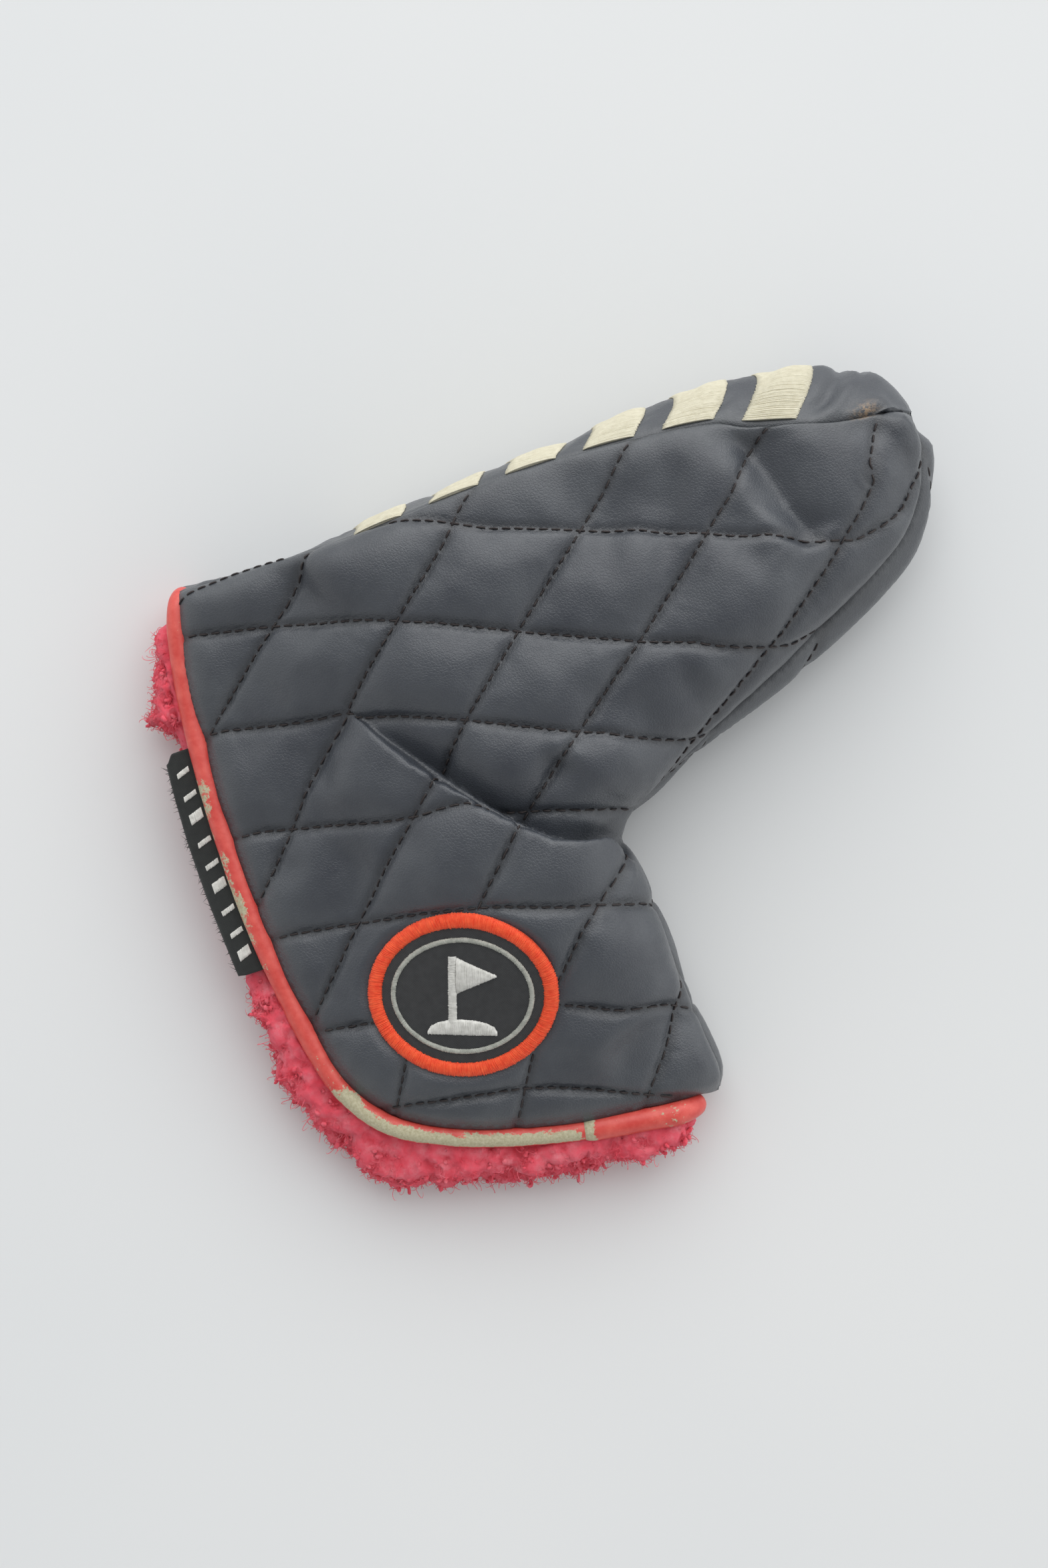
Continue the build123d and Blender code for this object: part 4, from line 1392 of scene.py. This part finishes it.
def leather_look():
    """Coated leather: dusty, paler at the edges from wear and a painted sheen, dark along the sewing from dirt
    and painted shade in its valleys, brown where it is scuffed.
    """
    look = Look("quilted_leather_look", Specular_IOR_Level=0.6, Coat_Weight=0.3, Coat_Roughness=0.27)
    tone = look.noise(0.07, 4.0)
    color = look.ramp(tone, (0.3, srgb(52, 56, 64)), (0.7, srgb(70, 74, 80)))
    dust = look.ramp(look.noise(1.3, 2.0, 0.6), (0.66, 0.0), (0.78, 0.30))
    color = look.mix(dust, color, srgb(92, 94, 92))
    # Paler towards the edges: partly wear, partly a painted sheen standing in for glancing reflection
    color = look.mix(look.times(look.read("edge"), 0.16), color, srgb(112, 114, 110))
    # Dark along the sewing: painted shade in the stitch valleys, with some dirt
    color = look.mix(look.times(look.read("sewn"), 0.4), color, srgb(17, 16, 17))
    patchy = look.ramp(look.noise(1.1, 5.0, 0.7), (0.42, 0.0), (0.56, 1.0))
    color = look.mix(look.times(look.read("scuff"), patchy), color, srgb(158, 132, 104))
    wrinkle = look.noise(0.32, 7.0, 0.62, Distortion=1.4)
    look.bump(wrinkle, 0.09, 0.6)
    look.bump(look.noise(1.4, 4.0, 0.6), 0.035, 0.6)
    cells = {"Vector": look.place(), "Scale": 1.55, "Randomness": 1.0}
    grain = look.node("TexVoronoi", cells, feature="DISTANCE_TO_EDGE")
    look.bump(look.ramp(grain, (0.0, 0.0), (0.22, 1.0)), 0.06, 0.7)
    rough = look.ramp(look.noise(0.5, 4.0), (0.3, 0.36), (0.7, 0.48))
    return look.done(color, rough)


def thread_look(name, dark, light, fibre=9.0, ends=None, **sockets):
    """Thread between two colours, with another colour at its ends if one is given: painted shade where the
    thread sinks into its holes.
    """
    look = Look(name, Roughness=0.6, **sockets)
    color = look.ramp(look.noise(0.8, 3.0), (0.3, srgb(*dark)), (0.7, srgb(*light)))
    if ends is not None:
        # Darker ends: painted shade where each stitch goes down into its needle hole
        to_middle = look.math("ABSOLUTE", look.math("SUBTRACT", look.read("run"), 0.5))
        color = look.mix(look.ramp(to_middle, (0.33, 0.0), (0.44, 1.0)), color, srgb(*ends))
    look.bump(look.noise(fibre, 2.0), 0.05, 0.7)
    return look.done(color)


def fleece_look():
    """Pink-red fleece, darker between its fibres as painted shade in the crevices of its bump."""
    look = Look("fleece_look", Roughness=0.95, Sheen_Weight=0.6, Sheen_Roughness=0.45, Specular_IOR_Level=0.2)
    look.shader.inputs["Sheen Tint"].default_value = srgb(255, 150, 170)
    stops = (0.28, srgb(255, 84, 102)), (0.5, srgb(255, 108, 124)), (0.74, srgb(255, 150, 160))
    color = look.ramp(look.noise(0.3, 5.0, 0.65), *stops)
    fibre = look.noise(2.6, 6.0, 0.7, Distortion=2.0)
    # Painted shade: darker pink where the fibre bump is low
    color = look.mix(look.ramp(fibre, (0.34, 0.4), (0.5, 0.0)), color, srgb(240, 74, 90))
    look.bump(fibre, 0.32, 0.7)
    look.bump(look.noise(7.0, 3.0, 0.6), 0.15, 0.8)
    return look.done(color)


def piping_look():
    """Red coated leather, flaked off to its beige backing where it is worn."""
    look = Look("piping_look", Specular_IOR_Level=0.5)
    red = look.ramp(look.noise(0.35, 4.0), (0.3, srgb(206, 66, 60)), (0.7, srgb(226, 98, 88)))
    beige = look.ramp(look.noise(1.6, 5.0, 0.7), (0.3, srgb(168, 160, 128)), (0.7, srgb(206, 200, 172)))
    flake = look.math("ADD", look.read("wear"), look.times(look.noise(0.9, 8.0, 0.78), 2.0))
    bare = look.ramp(look.times(flake, 0.5), (0.755, 0.0), (0.765, 1.0))
    speck = look.ramp(look.noise(2.2, 5.0, 0.7), (0.66, 0.0), (0.69, 0.8))
    color = look.mix(speck, red, srgb(215, 150, 120))
    color = look.mix(bare, color, beige)
    look.bump(bare, 0.09, -0.8)
    look.bump(look.noise(1.2, 5.0, 0.6), 0.1, 0.6)
    rough = look.mix(bare, (0.38, 0.38, 0.38, 1), (0.85, 0.85, 0.85, 1))
    return look.done(color, rough)


def cloth_look(name, dark, light, pitch):
    """Plain woven cloth between two colours."""
    look = Look(name, Roughness=0.85, Sheen_Weight=0.2)
    threads = {"Vector": look.place(), "Scale": pitch, "Distortion": 0.6, "Detail": 2.0}
    warp, weft = (look.node("TexWave", threads, "Fac", bands_direction=way) for way in "XY")
    weave = look.times(warp, weft)
    patchy = look.times(look.noise(0.6, 4.0), 0.5)
    color = look.math("ADD", look.times(weave, 0.6), patchy)
    color = look.ramp(color, (0.2, srgb(*dark)), (0.75, srgb(*light)))
    look.bump(weave, 0.1, 0.8)
    return look.done(color)


leather = leather_look()
# The dark ends are painted shade at the needle holes
quilting = thread_look("quilting_thread_look", (38, 32, 32), (54, 46, 46), ends=(12, 12, 13))
fleece = fleece_look()
red = piping_look()
cream = thread_look("cream_thread_look", (206, 200, 177), (221, 216, 195), 7.0)
orange = thread_look("orange_thread_look", (240, 68, 26), (255, 100, 52), 8.0, Sheen_Weight=0.1)
grey = thread_look("grey_thread_look", (160, 162, 154), (196, 197, 188))
white = thread_look("white_thread_look", (205, 204, 198), (236, 235, 230))
badge_cloth = cloth_look("badge_cloth_look", (38, 39, 41), (66, 67, 68), 1.6)
label_cloth = cloth_look("label_cloth_look", (24, 27, 27), (52, 56, 54), 1.9)
cotton = thread_look("cord_look", (190, 184, 166), (222, 216, 200))
fastener = cloth_look("fastener_look", (22, 22, 24), (46, 46, 48), 2.2)

# ---- each piece's look, the body it rides on and the CAD parts it hides; the lip's pieces are left unparented

# The CAD parts that the near panel stands in for
NEAR_NODES = ["near_side_panel", "near_lip_panel", "near_side_padding", "near_lip_padding"]
PIECES = [
    (near_panel, leather, "quilted_leather", "lip", NEAR_NODES),
    (near_thread, quilting, "quilted_leather", "lip", []),
    (far_panel, leather, "quilted_leather", "cover", ["far_side_panel", "far_side_padding"]),
    (far_thread, quilting, "quilted_leather", "cover", []),
    (sole_strip, leather, "quilted_leather", "cover", ["sole_gusset", "sole_gusset_padding"]),
    (sole_bars, cream, "cream_thread", "cover", ["sole_embroidery"]),
    (sole_fleece, fleece, "fleece", "cover", ["sole_gusset_lining"]),
    (near_fleece, fleece, "fleece", "lip", ["near_side_lining", "near_lip_lining"]),
    (far_fleece, fleece, "fleece", "cover", ["far_side_lining"]),
    (near_piping, red, "red_leather", "lip", ["near_mouth_piping"]),
    (far_piping, red, "red_leather", "cover", ["far_mouth_piping"]),
    (near_cord, cotton, "cord", "lip", ["near_mouth_piping_cord"]),
    (far_cord, cotton, "cord", "cover", ["far_mouth_piping_cord"]),
    (piping_join, red, "red_leather", "lip", ["piping_lap"]),
    (patch_base, badge_cloth, "badge_cloth", "lip", ["patch_base"]),
    (patch_border, orange, "orange_thread", "lip", ["patch_border"]),
    (patch_ring, grey, "grey_thread", "lip", ["patch_inner_ring"]),
    (patch_emblem, white, "cream_thread", "lip", ["patch_emblem"]),
    (hook_pad, fastener, "hook_and_loop", "cover", ["hook_strip"]),
    (loop_pad, fastener, "hook_and_loop", "lip", ["loop_strip"]),
    (woven_label, label_cloth, "label_cloth", "label", ["woven_label"]),
    (label_marks, white, "cream_thread", "label", []),
    (label_fray, label_cloth, "label_cloth", "label", []),
]
for piece, look, slot, body, nodes in PIECES:
    piece.data.materials.clear()
    piece.data.materials.append(look)
    if body == "lip":
        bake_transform(piece)
    else:
        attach(piece, body)
    if nodes:
        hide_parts(*nodes)

# ---- camera, floor and light

CAMERA_PLACE, LENS, SENSOR = (-17.5 * MM, 8 * MM, 0.52), 53.1, 36
camera = bpy.data.objects.new("camera", bpy.data.cameras.new("camera"))
bpy.context.scene.collection.objects.link(camera)
bpy.context.scene.camera = camera
camera.data.sensor_width, camera.data.lens = SENSOR, LENS
camera.location = CAMERA_PLACE
camera.rotation_euler = (0, 0, PICTURE_TURN)

FLOOR_HALF = 20000
corners = np.array([(-1, -1, 0), (1, -1, 0), (1, 1, 0), (-1, 1, 0)]) * FLOOR_HALF
floor = make("floor", corners, [[0, 1, 2, 3]])
paper = Look("floor_look", Roughness=0.9, Specular_IOR_Level=0.2)
color = paper.ramp(paper.noise(0.004, 2.0), (0.3, srgb(228, 230, 231)), (0.7, srgb(233, 234, 234)))
floor.data.materials.append(paper.done(color))

world = bpy.data.worlds.new("studio")
bpy.context.scene.world = world
ROOM_LIGHT, BRIGHT_SIDE = 1.03, (0.711, 0.703, 0)
studio = Nodes(world)
direction = studio.node("TexCoord", {}, "Generated")
height = studio.node("SeparateXYZ", {0: direction}, "Z")
sky = studio.ramp(height, (0.25, (1.08, 1.09, 1.09, 1)), (1.0, (0.25, 0.255, 0.26, 1)))
# The room is brighter towards the upper right of the picture
across = studio.node("VectorMath", {0: direction, 1: BRIGHT_SIDE}, "Value", operation="DOT_PRODUCT")
share = studio.node("MapRange", {"Value": across, "From Min": -1, "To Min": 0.52, "To Max": 1.52}, "Result")
room = studio.node("VectorMath", {0: sky, "Scale": share}, "Vector", operation="SCALE")
studio.links.new(room, studio.nodes["Background"].inputs["Color"])
studio.nodes["Background"].inputs["Strength"].default_value = ROOM_LIGHT

# A soft square lamp aimed at the cover
LAMP_PLACE, LAMP_POWER, LAMP_SIZE = (0.56, 1.08, 1.25), 19.2, 2.1
light = bpy.data.lights.new("key", "AREA")
light.energy, light.size = LAMP_POWER, LAMP_SIZE
lamp = bpy.data.objects.new("key", light)
lamp.location = LAMP_PLACE
lamp.rotation_euler = (-lamp.location).to_track_quat("-Z", "Y").to_euler()
bpy.context.scene.collection.objects.link(lamp)
bpy.context.scene.view_settings.view_transform = "Standard"
